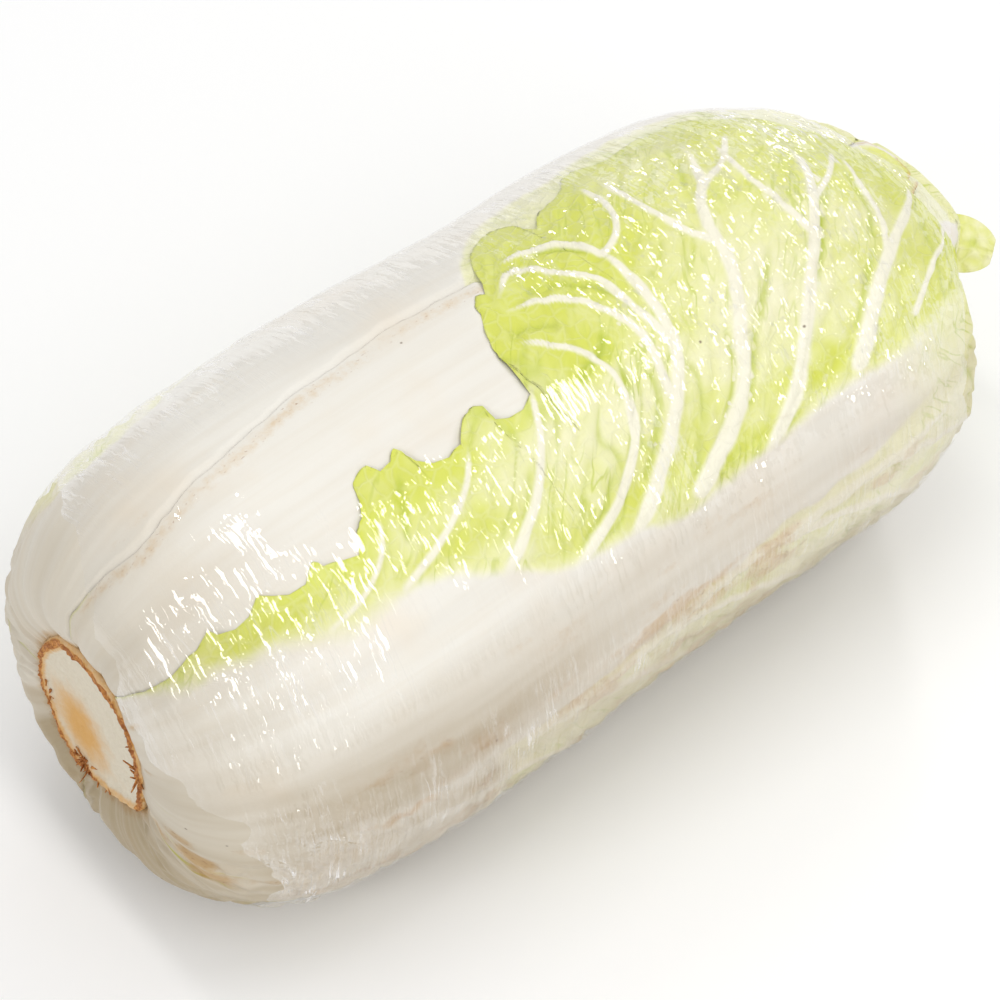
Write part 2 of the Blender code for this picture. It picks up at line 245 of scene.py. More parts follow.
def near_line(x, y, line):
    """Distance to a line of points, and how far along it the nearest place is, 0 to 1."""
    best = np.full(x.shape, FAR)
    share = np.zeros(x.shape)
    for index, (start, end) in enumerate(zip(line[:-1], line[1:])):
        run = end - start
        t = np.clip(((x - start[0]) * run[0] + (y - start[1]) * run[1]) / (run @ run), 0.0, 1.0)
        distance = np.hypot(x - start[0] - t * run[0], y - start[1] - t * run[1])
        closer = distance < best
        best = np.where(closer, distance, best)
        share = np.where(closer, (index + t) / (len(line) - 1), share)
    return best, share


# --- meshes ---
def grid_quads(rows, columns, first=0, flip=False, wrap=False):
    """Corner indices of a grid's quads; a wrapped grid's last column meets its first."""
    across = np.arange(columns if wrap else columns - 1)
    row, column = np.meshgrid(np.arange(rows - 1), across, indexing="ij")
    beside = (column + 1) % columns
    corners = [row * columns + column, row * columns + beside,
               (row + 1) * columns + beside, (row + 1) * columns + column]
    quads = np.stack(corners, axis=-1).reshape(-1, 4)
    return first + (quads[:, ::-1] if flip else quads)


def fill_mesh(mesh, points, quads, triangles):
    """Put vertices and faces into an empty mesh. Returns the vertex of each face corner."""
    corners = np.concatenate([quads.ravel(), triangles.ravel()]).astype(np.int32)
    sizes = np.concatenate([np.full(len(quads), 4), np.full(len(triangles), 3)]).astype(np.int32)
    starts = np.concatenate([[0], np.cumsum(sizes)[:-1]]).astype(np.int32)
    mesh.vertices.add(len(points))
    mesh.vertices.foreach_set("co", np.asarray(points, np.float32).ravel())
    mesh.loops.add(len(corners))
    mesh.loops.foreach_set("vertex_index", corners)
    mesh.polygons.add(len(sizes))
    mesh.polygons.foreach_set("loop_start", starts)
    mesh.polygons.foreach_set("loop_total", sizes)
    mesh.update(calc_edges=True)
    return corners


def make_piece(name, points, quads, triangles, material, uv, attributes):
    """A mesh object from whole arrays, shaded smooth. uv holds a pair per vertex, or per corner."""
    mesh = bpy.data.meshes.new(name)
    corners = fill_mesh(mesh, points, quads, np.asarray(triangles, int).reshape(-1, 3))
    corner_uv = uv if len(uv) == len(corners) else uv[corners]
    layer = mesh.uv_layers.new(name="surface")
    layer.data.foreach_set("uv", np.asarray(corner_uv, np.float32).ravel())
    for key, values in attributes.items():
        field = mesh.attributes.new(key, "FLOAT", "POINT")
        field.data.foreach_set("value", np.asarray(values, np.float32).ravel())
    mesh.validate()
    mesh.shade_smooth()
    mesh.materials.append(material)
    return link_object(name, mesh)


def link_object(name, data):
    """A new object in the scene, unmoved."""
    item = bpy.data.objects.new(name, data)
    bpy.context.scene.collection.objects.link(item)
    return item


def place_piece(piece, slot, *nodes):
    """Fix a finished piece to the head's one body, in the place of its plain solids."""
    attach(piece, "root")
    if nodes:
        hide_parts(*nodes)


INNER_STRIDE = 4  # a leaf's inner side has every fourth vertex of its outer side


def rim_triangles(fine, coarse):
    """Join a fine row of vertices to a coarse one that has a vertex for every few of the fine."""
    half = INNER_STRIDE // 2
    opposite = coarse[(np.arange(len(fine) - 1) + half) // INNER_STRIDE]
    fans = np.stack([fine[:-1], fine[1:], opposite], axis=-1)
    middles = fine[half::INNER_STRIDE][:len(coarse) - 1]
    bridges = np.stack([coarse[:-1], middles, coarse[1:]], axis=-1)
    return np.concatenate([fans, bridges])


def shell(outer, inner):
    """Faces of a closed leaf: a fine outer grid, a coarser inner one, and the rim between them.

    Both are given as vertex counts (rows, columns)."""
    rows, columns = outer
    inner_rows, inner_columns = inner
    first = rows * columns
    outer_index = np.arange(first).reshape(rows, columns)
    inner_index = first + np.arange(inner_rows * inner_columns).reshape(inner_rows, inner_columns)
    quads = np.concatenate([grid_quads(rows, columns),
                            grid_quads(inner_rows, inner_columns, first, flip=True)])
    rims = (
        rim_triangles(outer_index[0, ::-1], inner_index[0, ::-1]),
        rim_triangles(outer_index[-1], inner_index[-1]),
        rim_triangles(outer_index[:, 0], inner_index[:, 0]),
        rim_triangles(outer_index[::-1, -1], inner_index[::-1, -1]),
    )
    return quads, np.concatenate(rims)


def both_sides(outer, inner, step=1):
    """A shell's vertices, or their values: the outer grid's at every step, then the coarse inner's."""
    fine = outer[::step, ::step]
    coarse = inner[::step * INNER_STRIDE, ::step * INNER_STRIDE]
    return np.concatenate([side.reshape(-1, *outer.shape[2:]) for side in (fine, coarse)])


def crisp_rim(piece):
    """Shade a shell's rim apart from its sides. Only the rim is made of triangles."""
    corners = np.zeros(len(piece.data.polygons), np.int32)
    piece.data.polygons.foreach_get("loop_total", corners)
    piece.data.polygons.foreach_set("use_smooth", corners > 3)


# --- layers: where the leaves lie ---
class Layers:
    """Depths on a lattice of path and angle: how deep the space is taken, and where the outermost
    surface is. Leaves are laid from the outside inwards."""

    PATH_STEP = 0.0015
    ANGLE_STEP = 1.2
    BARE_DEPTH = 0.012  # the surface's depth where no leaf lies

    def __init__(self):
        rows = int(OUTLINE_PATH[-1] / self.PATH_STEP) + 2
        columns = round(360.0 / self.ANGLE_STEP)
        self.taken = np.zeros((rows, columns))
        self.surface = np.full((rows, columns), self.BARE_DEPTH)

    def spread(self, depth, reach, choose):
        """The largest or smallest value within some steps of each lattice point."""
        result = depth
        for axis in (0, 1):
            source = result
            for step in range(-reach, reach + 1):
                result = choose(result, self.shifted(source, step, axis))
        return result

    def shifted(self, depth, step, axis):
        """The lattice moved by whole steps; it wraps round the head and repeats at its ends."""
        if axis == 1:
            return np.roll(depth, step, axis=1)
        rows = np.clip(np.arange(len(depth)) - step, 0, len(depth) - 1)
        return depth[rows]

    def blurred(self, depth, reach):
        """The mean over some steps both ways."""
        for axis in (0, 1):
            depth = sum(self.shifted(depth, step, axis) for step in range(-reach, reach + 1))
            depth = depth / (2 * reach + 1)
        return depth

    def read(self, depth, path, angle):
        """A lattice's value at any path and angle, by the four lattice points around it."""
        row = np.clip(path / self.PATH_STEP, 0.0, len(depth) - 1.001)
        column = (angle / self.ANGLE_STEP) % depth.shape[1]
        low_row = row.astype(int)
        low_column = column.astype(int) % depth.shape[1]
        next_column = (low_column + 1) % depth.shape[1]
        down = row - low_row
        over = column - np.floor(column)
        near = depth[low_row, low_column] * (1 - over) + depth[low_row, next_column] * over
        far = depth[low_row + 1, low_column] * (1 - over) + depth[low_row + 1, next_column] * over
        return near * (1 - down) + far * down

    def clear_depth(self, path, angle):
        """A smooth depth under everything taken so far."""
        return self.read(self.blurred(self.spread(self.taken, 1, np.maximum), 1), path, angle)

    def lay(self, path, angle, outer, inner):
        """Take the space between a leaf's outer and inner side, given on a dense grid."""
        row = np.clip(np.rint(path / self.PATH_STEP).astype(int), 0, len(self.taken) - 1).ravel()
        column = (np.rint(angle / self.ANGLE_STEP).astype(int) % self.taken.shape[1]).ravel()
        np.maximum.at(self.taken, (row, column), inner.ravel())
        np.minimum.at(self.surface, (row, column), outer.ravel())


LAYERS = Layers()
LEAF_GAP = 0.0001  # left free under each leaf


class Leaf:
    """One leaf's layout: its middle line, its midrib's two edges, its own two edges, its veins
    and its creases, and how high each part of it stands. Each leaf also gives its seed and its
    paint, and may give another value for whatever is named here first."""
    veins = ()
    creases = ()
    cells = (400, 192)  # rows and columns of its grid
    stride = 1  # every how many of them its mesh has
    top = 0.0007  # depth of the midrib's crest
    blade_drop = 0.0006  # how far under it the blade lies
    thickness = 0.0050  # of the midrib at the base
    swell = 0.0005  # height of its broad unevenness
    green_above = None  # angle over which its base is green too
    edge_depth = None  # depth to which the leaf's edge is pressed down

    def __init__(self, name, node, slot, middle, rib, low_edge, high_edge, **more):
        self.name = name
        self.node = node
        self.slot = slot
        self.middle = to_place(middle)
        self.rib_low, self.rib_high = (to_place(line) for line in rib)
        self.low_edge = to_place(low_edge)
        self.high_edge = to_place(high_edge)
        self.pace = ((0.0, middle[0][0]), (1.0, middle[-1][0]))
        for key, value in more.items():
            setattr(self, key, value)


BLADE_THICKNESS = 0.0008
EDGE_THICKNESS = 0.00018
MIDDLE_SHARE = 0.38  # the share of a grid's columns at which its middle line runs
RIDGE_HEIGHT = 0.00028
VEIN_HEIGHT = 0.0010
CREASE_DEPTH = 0.0012
PUCKER_HEIGHT = 0.0011
RUFFLE_HEIGHT = 0.0008
EDGE_PRESSED = 0.0030  # how far in from a pressed edge its depth has changed
VEIN_LEAN = math.radians(52.0)  # how far the side veins lean from the midrib
LEAST_VEIN = 1.0  # millimetres
LINE_POINTS = 14  # of each drawn vein and crease
RIB_SOFT = 2.2  # degrees over which the midrib passes into the blade
BLISTER_SIZE = (0.015, 0.0085)  # along the side veins and across them
FOLD_SIZE = (0.012, 0.0032)
THREAD_SIZE = (0.026, 0.0060)


def edge_places(points, rows, seed):
    """A leaf's edge as evenly spaced places, with a fine uneven serration on the drawn line."""
    line = drawn(points, rows)
    run = np.gradient(line, axis=0)
    run /= np.linalg.norm(run, axis=1, keepdims=True) + 1e-9
    travel = np.linspace(0.0, 1.0, rows) * len(points) * 2.2
    broad = 0.0007 * noise(travel, travel * 0.0 + 0.5, seed)
    teeth = broad + 0.0004 * noise(travel * 3.1, travel * 0.0, seed + 1)
    line = line + np.stack([-run[:, 1], run[:, 0]], axis=1) * teeth[:, None]
    return line / (1.0, DEGREE)


def leaf_places(leaf, rows, columns):
    """Places of a leaf's grid: each row runs from the low edge over the middle line to the high
    edge. The leaf's pace says how far along the middle line each share of the rows stands, so that
    rows cross a steep part of the edge. Returns path, angle and the distance in metres from the
    nearest edge."""
    low = edge_places(leaf.low_edge, rows, leaf.seed + 10)
    high = edge_places(leaf.high_edge, rows, leaf.seed + 20)
    pace = np.array(leaf.pace)
    stations = spline(pace[:, 0], pace[:, 1], np.linspace(0.0, 1.0, rows))
    middle_path = SIDE_START + 0.001 * stations
    middle = np.stack([middle_path, angle_on(leaf.middle, middle_path)], axis=1)
    across = np.linspace(0.0, 1.0, columns)
    to_low = np.clip(1.0 - across / MIDDLE_SHARE, 0.0, 1.0)[None, :, None]
    to_high = np.clip((across - MIDDLE_SHARE) / (1.0 - MIDDLE_SHARE), 0.0, 1.0)[None, :, None]
    place = middle[:, None] + to_low * (low - middle)[:, None] + to_high * (high - middle)[:, None]
    low_width = np.linalg.norm((low - middle) * (1.0, DEGREE), axis=1)[:, None]
    high_width = np.linalg.norm((high - middle) * (1.0, DEGREE), axis=1)[:, None]
    from_low = (1.0 - to_low[..., 0]) * low_width + to_high[..., 0] * high_width
    from_high = (1.0 - to_high[..., 0]) * high_width + to_low[..., 0] * low_width
    from_tip = (middle_path[-1] - middle_path)[:, None]
    from_edge = np.minimum(np.minimum(from_low, from_high), from_tip)
    return place[..., 0], place[..., 1], from_edge


def line_marks(x, y, lines):
    """The strongest mark of a set of drawn lines at each place: each is a bell across its line,
    and its width narrows from the first number to the second."""
    mark = np.zeros(x.shape)
    for points, width, end_width, strength in lines:
        distance, share = near_line(x, y, drawn(to_place(points), LINE_POINTS))
        spread = np.maximum(width + (end_width - width) * share, LEAST_VEIN) * 0.001
        ends = 1.0 - 0.7 * rise(share, 0.85, 1.0)
        mark = np.maximum(mark, strength * ends * bell(distance, spread))
    return mark


def rib_mark(leaf, path, angle, low, high):
    """1 on the midrib between its two angles, with wandering edges. The high edge is softer, and
    softest toward the base."""
    wander = 2.4 * rough_noise(path / 0.016, angle * DEGREE / 0.012, leaf.seed + 3, 3)
    rib = rise(angle + wander, low - RIB_SOFT, low + RIB_SOFT)
    from_base = past_turn(path, 0.055, 0.095)
    fade = RIB_SOFT * (2.0 + 3.0 * (1.0 - from_base))
    return rib * fall(angle + wander, high - fade, high + RIB_SOFT)


def leaf_marks(leaf, path, angle):
    """Where the leaf is midrib, vein, crease and blister, each from 0 to 1. The blisters, the folds
    on them and the thread-like creases lie along the side veins: each is a pattern on the place
    measured along those and across them."""
    x, y = path, angle * DEGREE
    low = angle_on(leaf.rib_low, path)
    high = angle_on(leaf.rib_high, path)
    rib = rib_mark(leaf, path, angle, low, high)
    vein = line_marks(x, y, leaf.veins)
    crease = line_marks(x, y, leaf.creases)
    out = np.abs(y - 0.5 * (low + high) * DEGREE)
    down = x * math.cos(VEIN_LEAN) + out * math.sin(VEIN_LEAN)
    over = out * math.cos(VEIN_LEAN) - x * math.sin(VEIN_LEAN)
    bend = 0.35 * noise(x / 0.012, y / 0.012, leaf.seed)
    nearest, second = cells(down / BLISTER_SIZE[0] + bend, over / BLISTER_SIZE[1] - bend, leaf.seed + 4)
    dome = rise(second - nearest, 0.0, 0.75)
    fold = rough_noise(down / FOLD_SIZE[0], over / FOLD_SIZE[1], leaf.seed + 5, 2)
    threads = noise(down / THREAD_SIZE[0], over / THREAD_SIZE[1], leaf.seed + 12)
    shown = rise(noise(x / 0.021, y / 0.017, leaf.seed + 13), 0.0, 0.5)
    threads = bell(threads, 0.10) * shown
    crease = np.maximum(crease, 0.55 * threads * (1.0 - vein))
    return {"rib": rib, "vein": vein * (1.0 - rib), "crease": crease * (1.0 - rib), "dome": dome,
            "fold": fold, "low": low, "high": high, "down": down, "over": over}


def leaf_height(leaf, path, angle, from_edge, marks):
    """Height over the blade's floor: the midrib is a low vault with long ridges, the veins stand
    up, the blade blisters between them, the creases sink in and the edge is ruffled."""
    x, y = path, angle * DEGREE
    rib, vein = marks["rib"], marks["vein"]
    middle = 0.5 * (marks["low"] + marks["high"])
    half = 0.5 * (marks["high"] - marks["low"]) + 1.0
    vault = 1.0 - 0.55 * np.clip(np.abs(angle - middle) / half, 0.0, 1.2)**2
    at_base = 1.0 - past_turn(path, 0.0, 0.06)
    broad = noise(x / 0.11, y / 0.0075, leaf.seed + 6)
    narrow = noise(x / 0.06, y / 0.0032, leaf.seed + 7)
    ridges = RIDGE_HEIGHT * (1.0 + at_base) * (broad + 0.15 * narrow)
    tall = leaf.blade_drop * vault + ridges
    swell = leaf.swell * rough_noise(x / 0.034, y / 0.026, leaf.seed + 8, 2)
    pucker = PUCKER_HEIGHT * (marks["dome"] - 0.6 + 0.32 * marks["fold"])
    ruffle = noise(x / 0.0065 + 3.0, y / 0.0065, leaf.seed + 9)
    ruffle = RUFFLE_HEIGHT * np.exp(-from_edge / 0.007) * ruffle
    flesh = VEIN_HEIGHT * vein + pucker * (1.0 - 0.75 * vein) + ruffle - CREASE_DEPTH * marks["crease"]
    return rib * tall + (1.0 - rib) * flesh + swell


def leaf_depths(leaf, path, angle, from_edge, marks):
    """Depth of a leaf's outer and inner side: the outer is the blade's depth less the height, and
    never over what already lies there; it is thick under the midrib and thin at the edge."""
    height = leaf_height(leaf, path, angle, from_edge, marks)
    outer = leaf.top + leaf.blade_drop - height
    if leaf.edge_depth:
        outer = outer + (leaf.edge_depth - outer) * np.exp(-from_edge / EDGE_PRESSED)
    outer = np.maximum(outer, LAYERS.clear_depth(path, angle))
    start, end = leaf.middle[0, 0], leaf.middle[-1, 0]
    thin = 1.0 - 0.75 * rise(path, start + 0.10, end)
    middle = 0.5 * (marks["low"] + marks["high"])
    fleshy = bell(angle - middle, 0.55 * (marks["high"] - marks["low"]) + 2.0)
    blade = EDGE_THICKNESS + (BLADE_THICKNESS - EDGE_THICKNESS) * rise(from_edge, 0.0, 0.006)
    rib = (leaf.thickness - BLADE_THICKNESS) * thin * fleshy * rise(from_edge, 0.0, 0.02)
    return outer, outer + blade + rib


def leaf_grids(leaf):
    """Lay a leaf under those before it. Returns the path, angle, outer and inner depth of its whole
    grid, and the fields of its material."""
    rows, columns = leaf.cells[0] + 1, leaf.cells[1] + 1
    path, angle, from_edge = leaf_places(leaf, rows, columns)
    marks = leaf_marks(leaf, path, angle)
    outer, inner = leaf_depths(leaf, path, angle, from_edge, marks)
    LAYERS.lay(path, angle, outer, inner + LEAF_GAP)
    return path, angle, outer, inner, leaf_paint(leaf, path, angle, from_edge, marks)


def make_leaf(leaf, material):
    """Build one leaf's closed shell from the fine places of its outer side and the coarse ones of
    its inner side."""
    path, angle, outer, inner, paint = leaf_grids(leaf)
    step = leaf.stride
    points = both_sides(on_head(path, angle, outer), on_head(path, angle, inner), step)
    quads, triangles = shell(path[::step, ::step].shape,
                             path[::step * INNER_STRIDE, ::step * INNER_STRIDE].shape)
    place = np.stack([path, angle * DEGREE], axis=-1)
    fields = {key: both_sides(value, value, step) for key, value in paint.items()}
    piece = make_piece(leaf.name, points, quads, triangles, material, both_sides(place, place, step),
                       fields)
    orient(piece)
    crisp_rim(piece)
    place_piece(piece, leaf.slot, leaf.node)


def leaf_paint(leaf, path, angle, from_edge, marks):
    """The fields that the leaf material reads: how far each place is midrib, vein, green, crease
    and stain, how far painted shade darkens it toward the underside and over the base, and where
    it lies along the veins."""
    x, y = path, angle * DEGREE
    blade = 1.0 - marks["rib"]
    turn = (angle + 90.0) % 360.0 - 90.0
    patchy = 0.5 + 0.5 * rough_noise(x / 0.018, y / 0.014, leaf.seed + 11)
    green = blade * (0.14 + 0.36 * patchy + 0.12 * (1.0 - marks["dome"]))
    green = green + 0.30 * np.exp(-from_edge / 0.007) * blade
    fields = {"white": marks["rib"], "vein": marks["vein"], "green": green,
              "crease": marks["crease"], "stain": np.zeros(path.shape),
              "painted_shade": darkened(path, turn, leaf.seed), "down": marks["down"], "over": marks["over"]}
    paint_base(leaf, fields, path, angle, from_edge)
    leaf.paint(fields, path, angle, from_edge)
    fields["green"] = np.clip(fields["green"], 0.0, 1.0)
    cut_edge = 0.75 * bell(path, 0.0036)
    fields["stain"] = np.maximum(fields["stain"], cut_edge)
    return fields


def paint_base(leaf, fields, path, angle, from_edge):
    """Every leaf is white at its base, apart from where it says that it is green, and its edge is
    a faint greenish slit there."""
    at_base = 1.0 - past_turn(path, -0.004, 0.034)
    if leaf.green_above:
        started = past_turn(path, -0.012, 0.016)
        above = rise(angle, leaf.green_above - 5.0, leaf.green_above + 5.0)
        at_base = at_base * (1.0 - started * above)
    fields["white"] = np.maximum(fields["white"], at_base)
    on_butt = 1.0 - past_turn(path, -0.006, 0.016)
    slit = np.exp(-from_edge / 0.0018) * on_butt
    fields["crease"] = np.maximum(fields["crease"], 0.40 * slit)
    fields["white"] = fields["white"] * (1.0 - 0.75 * slit)


def darkened(path, turn, seed):
    """How far painted shade darkens the leaves: toward the underside, over the base, and most at the
    low front of the base. Long bands along the leaf get a little more painted shade."""
    # Painted shade: the leaves' colour is darkened here to stand in for the light that the underside and the
    # base don't get.
    under = rise(36.0 - turn, 0.0, 76.0) * (turn < 90.0)
    under = under + rise(turn - 165.0, 0.0, 70.0)
    low = rise(38.0 - turn, 0.0, 26.0) * rise(turn + 110.0, 0.0, 30.0)
    low = low * (1.0 - 0.45 * past_turn(path, 0.060, 0.260))
    low = low * (0.55 + 0.45 * past_turn(path, -0.008, 0.024))
    base = 0.52 * (1.0 - past_turn(path, -0.012, 0.070))
    bands = rough_noise(path / 0.090, turn * DEGREE / 0.0075, seed + 14, 3)
    bands = 0.36 * bands * np.maximum(0.30, np.maximum(under, low))
    clouds = rough_noise(path / 0.030, turn * DEGREE / 0.012, seed + 15)
    clouds = window(turn, -10.0, 66.0, 16.0) * rise(clouds, -0.1, 0.9)
    painted_shade = np.maximum(np.maximum(under, 0.85 * low), base + 0.30 * low)
    return np.clip(painted_shade + bands + 0.05 * clouds, 0.0, 1.0)


# --- materials ---
def linear(red, green, blue):
    """A display colour, 0 to 255, as linear light with full alpha."""
    shares = [value / 255.0 for value in (red, green, blue)]
    return tuple(v / 12.92 if v < 0.04045 else ((v + 0.055) / 1.055)**2.4 for v in shares) + (1.0,)


class Nodes:
    """Short ways to add and join a material's nodes."""

    def __init__(self, name):
        self.material = bpy.data.materials.new(name)
        self.material.use_nodes = True
        self.tree = self.material.node_tree
        self.surface = self.tree.nodes["Principled BSDF"]
        self.output = self.tree.nodes["Material Output"]

    def add(self, kind, inputs=None, **settings):
        """A node with its settings, its inputs set to values or joined to sockets."""
        node = self.tree.nodes.new("ShaderNode" + kind)
        for key, value in settings.items():
            setattr(node, key, value)
        for key, value in (inputs or {}).items():
            self.join(value, node.inputs[key])
        return node

    def join(self, value, socket):
        """Link a socket's value, or set it."""
        if isinstance(value, bpy.types.NodeSocket):
            self.tree.links.new(value, socket)
        else:
            socket.default_value = value

    def shade(self, **inputs):
        """Set or join the surface's own inputs; an underscore stands for a space."""
        for key, value in inputs.items():
            self.join(value, self.surface.inputs[key.replace("_", " ")])

    def maths(self, operation, first, second=0.0, clamp=False):
        """The result of one sum on two values."""
        node = self.add("Math", {0: first, 1: second}, operation=operation, use_clamp=clamp)
        return node.outputs[0]

    def plus(self, first, second):
        """The sum of two values."""
        return self.maths("ADD", first, second)

    def minus(self, first, second, clamp=False):
        """The first value less the second."""
        return self.maths("SUBTRACT", first, second, clamp)

    def times(self, first, second, clamp=False):
        """The product of two values."""
        return self.maths("MULTIPLY", first, second, clamp)

    def centred(self, pattern):
        """A pattern from 0 to 1 as one from -0.5 to 0.5."""
        return self.minus(pattern, 0.5)

    def vector(self, operation, first, second):
        """The result of one sum on two vectors."""
        return self.add("VectorMath", {0: first, 1: second}, operation=operation).outputs[0]

    def stretched(self, vector, scale):
        """A vector multiplied by a scale."""
        return self.vector("MULTIPLY", vector, scale)

    def pair(self, first, second):
        """A vector of two values."""
        return self.add("CombineXYZ", {0: first, 1: second}).outputs[0]

    def mix(self, factor, first, second, blend="MIX"):
        """Two colours mixed by a factor."""
        inputs = {0: factor, 6: first, 7: second}
        return self.add("Mix", inputs, data_type="RGBA", blend_type=blend).outputs[2]

    def field(self, name):
        """A value stored on the mesh's vertices."""
        return self.add("Attribute", attribute_name=name).outputs["Fac"]

    def ramp(self, value, low, high):
        """A smooth rise from 0 at low to 1 at high."""
        inputs = {0: value, 1: low, 2: high}
        return self.add("MapRange", inputs, interpolation_type="SMOOTHSTEP").outputs[0]

    def fall(self, value, low, high):
        """A smooth fall from 1 at low to 0 at high."""
        return self.minus(1.0, self.ramp(value, low, high))

    def thin_line(self, pattern, width):
        """1 where a pattern passes through its middle, 0 a width away from there."""
        return self.fall(self.maths("ABSOLUTE", self.centred(pattern)), 0.0, width)

    def surface_map(self, scale=(1.0, 1.0, 1.0)):
        """The piece's own map, in metres along and round, scaled."""
        uv = self.add("UVMap", uv_map="surface").outputs[0]
        return self.add("Mapping", {"Vector": uv, "Scale": scale}).outputs[0]

    def noise(self, vector, scale=1.0, detail=2.0, roughness=0.5, distortion=0.0, output=0):
        """Noise from 0 to 1; its output 1 is three such noises as a colour."""
        inputs = {"Vector": vector, "Scale": scale, "Detail": detail, "Roughness": roughness,
                  "Distortion": distortion}
        return self.add("TexNoise", inputs).outputs[output]

    def cells(self, vector, scale=1.0):
        """Random cells: the distance to the nearest cell's middle, and a colour of its own."""
        node = self.add("TexVoronoi", {"Vector": vector, "Scale": scale}, feature="F1")
        return node.outputs["Distance"], node.outputs["Color"]

    def net(self, vector, scale):
        """Distance to the edges of random cells."""
        node = self.add("TexVoronoi", {"Vector": vector, "Scale": scale}, feature="DISTANCE_TO_EDGE")
        return node.outputs["Distance"]

    def bump(self, height, distance, strength=1.0, **normal):
        """A surface normal tilted by a height."""
        inputs = {"Height": height, "Distance": distance, "Strength": strength}
        return self.add("Bump", {**inputs, **normal}).outputs[0]


def leaf_patterns(n):
    """The leaf's patterns: the veinlets are a net of bent cells, the wrinkles are thin lines of
    noise stretched along the side veins, the fibres are noise stretched along the leaf."""
    flat = n.surface_map()
    warp = n.times(n.noise(flat, 160.0), 0.004)
    bent = n.vector("ADD", flat, n.pair(warp, warp))
    grown = n.stretched(n.pair(n.field("down"), n.field("over")), (40.0, 175.0, 1.0))
    wrinkle = n.thin_line(n.noise(grown, distortion=0.3), 0.040)
    held = n.ramp(n.noise(flat, 42.0, 1.0), 0.44, 0.70)
    return {
        "flat": flat,
        "veinlets": n.fall(n.net(bent, 210.0), 0.0, 0.14),
        "wrinkle": n.times(wrinkle, held),
        "fibres": n.noise(n.surface_map((12.0, 240.0, 1.0)), detail=3.0, roughness=0.6),
        "grain": n.noise(flat, 260.0, 4.0, 0.7),
    }


def blade_colour(n, colours, patterns):
    """The blade: from pale to green by its field and a patchy noise, with veinlets, wrinkles,
    creases and the big veins."""
    patch = n.centred(n.noise(patterns["flat"], 75.0, 4.0, 0.6))
    tone = n.ramp(n.plus(n.field("green"), n.times(patch, 0.6)), 0.0, 1.0)
    blade = n.mix(tone, colours.blade_pale, colours.blade_green)
    blade = n.mix(n.times(patterns["veinlets"], 0.16), blade, colours.veinlet)
    blade = n.mix(n.times(patterns["wrinkle"], 0.60), blade, colours.crease)
    blade = n.mix(n.times(n.field("crease"), 0.9), blade, colours.crease)
    return n.mix(n.ramp(n.field("vein"), 0.10, 0.60), blade, colours.vein)


def flesh_colour(n, colours, patterns):
    """The midrib: ivory with faint fibres and warm clouds."""
    fibres = n.ramp(patterns["fibres"], 0.35, 0.80)
    cloud = n.ramp(n.noise(patterns["flat"], 24.0, 3.0, 0.6), 0.45, 0.80)
    return n.mix(cloud, n.mix(fibres, colours.flesh, colours.flesh_shade), colours.flesh_warm)


def stained(n, colours, patterns, colour):
    """Blotches and dark flecks where the leaf is stained, and a few specks all over: the dots at
    the middles of some of a pattern's cells."""
    stain = n.field("stain")
    spread = n.ramp(n.plus(stain, n.centred(patterns["grain"])), 0.15, 0.95)
    blotch = n.times(spread, n.ramp(stain, 0.02, 0.2))
    colour = n.mix(n.times(blotch, 0.8), colour, colours.stain)
    fleck = n.noise(n.surface_map((520.0, 1100.0, 1.0)), detail=3.0, roughness=0.7)
    fleck = n.times(n.ramp(fleck, 0.60, 0.70), n.ramp(stain, 0.08, 0.6))
    colour = n.mix(fleck, colour, colours.fleck)
    distance, chance = n.cells(patterns["flat"], 95.0)
    share = n.add("SeparateColor", {0: chance}).outputs[0]
    speck = n.times(n.fall(distance, 0.02, 0.06), n.ramp(share, 0.86, 0.90))
    return n.mix(n.times(speck, 0.8), colour, colours.speck)


def leaf_relief(n, patterns, white):
    """Fine height of the skin: raised veinlets, sunk wrinkles in the blade, fibres and grain."""
    skin = n.times(patterns["veinlets"], n.minus(0.7, n.times(white, 0.7)))
    bladed = n.minus(1.0, white, clamp=True)
    skin = n.minus(skin, n.times(n.times(patterns["wrinkle"], 0.35), bladed))
    rough = n.plus(n.times(patterns["fibres"], 0.15), n.times(patterns["grain"], 0.5))
    return n.plus(skin, rough)


def leaf_material(name, colours):
    """Leaf skin: a blade with a faint net of fine veins, pale veins, a smooth ivory midrib with
    faint fibres, bright creases, brown stains with flecks, and scattered specks, all darkened by
    painted shade toward the underside."""
    n = Nodes(name)
    patterns = leaf_patterns(n)
    white = n.field("white")
    blade = blade_colour(n, colours, patterns)
    flesh = flesh_colour(n, colours, patterns)
    colour = n.mix(n.ramp(white, 0.12, 0.80), blade, flesh)
    colour = stained(n, colours, patterns, colour)
    # Painted shade: toward the underside, over the base and in bands, the colour is multiplied by the shade
    # colour.
    colour = n.mix(n.field("painted_shade"), colour, n.mix(1.0, colour, colours.painted_shade, "MULTIPLY"))
    normal = n.bump(leaf_relief(n, patterns, white), 0.0003, 0.7)
    n.shade(Base_Color=colour, Roughness=0.45, Specular_IOR_Level=0.35, Normal=normal)
    return n.material


def facet_tilt(n, vector, amount):
    """Each random cell of a pattern tilts the surface its own way, as the flats of crumpled film do.
    Returns the tilt and the distance to the cell's middle."""
    distance, chance = n.cells(vector)
    way = n.vector("SUBTRACT", chance, (0.5, 0.5, 0.5))
    return n.stretched(way, amount), distance


STROKES = (1750.0, 85.0, 1.0)  # the film's long flats: so many to a metre along and round
ROUNDS = (430.0, 430.0, 1.0)  # its round flats and dots


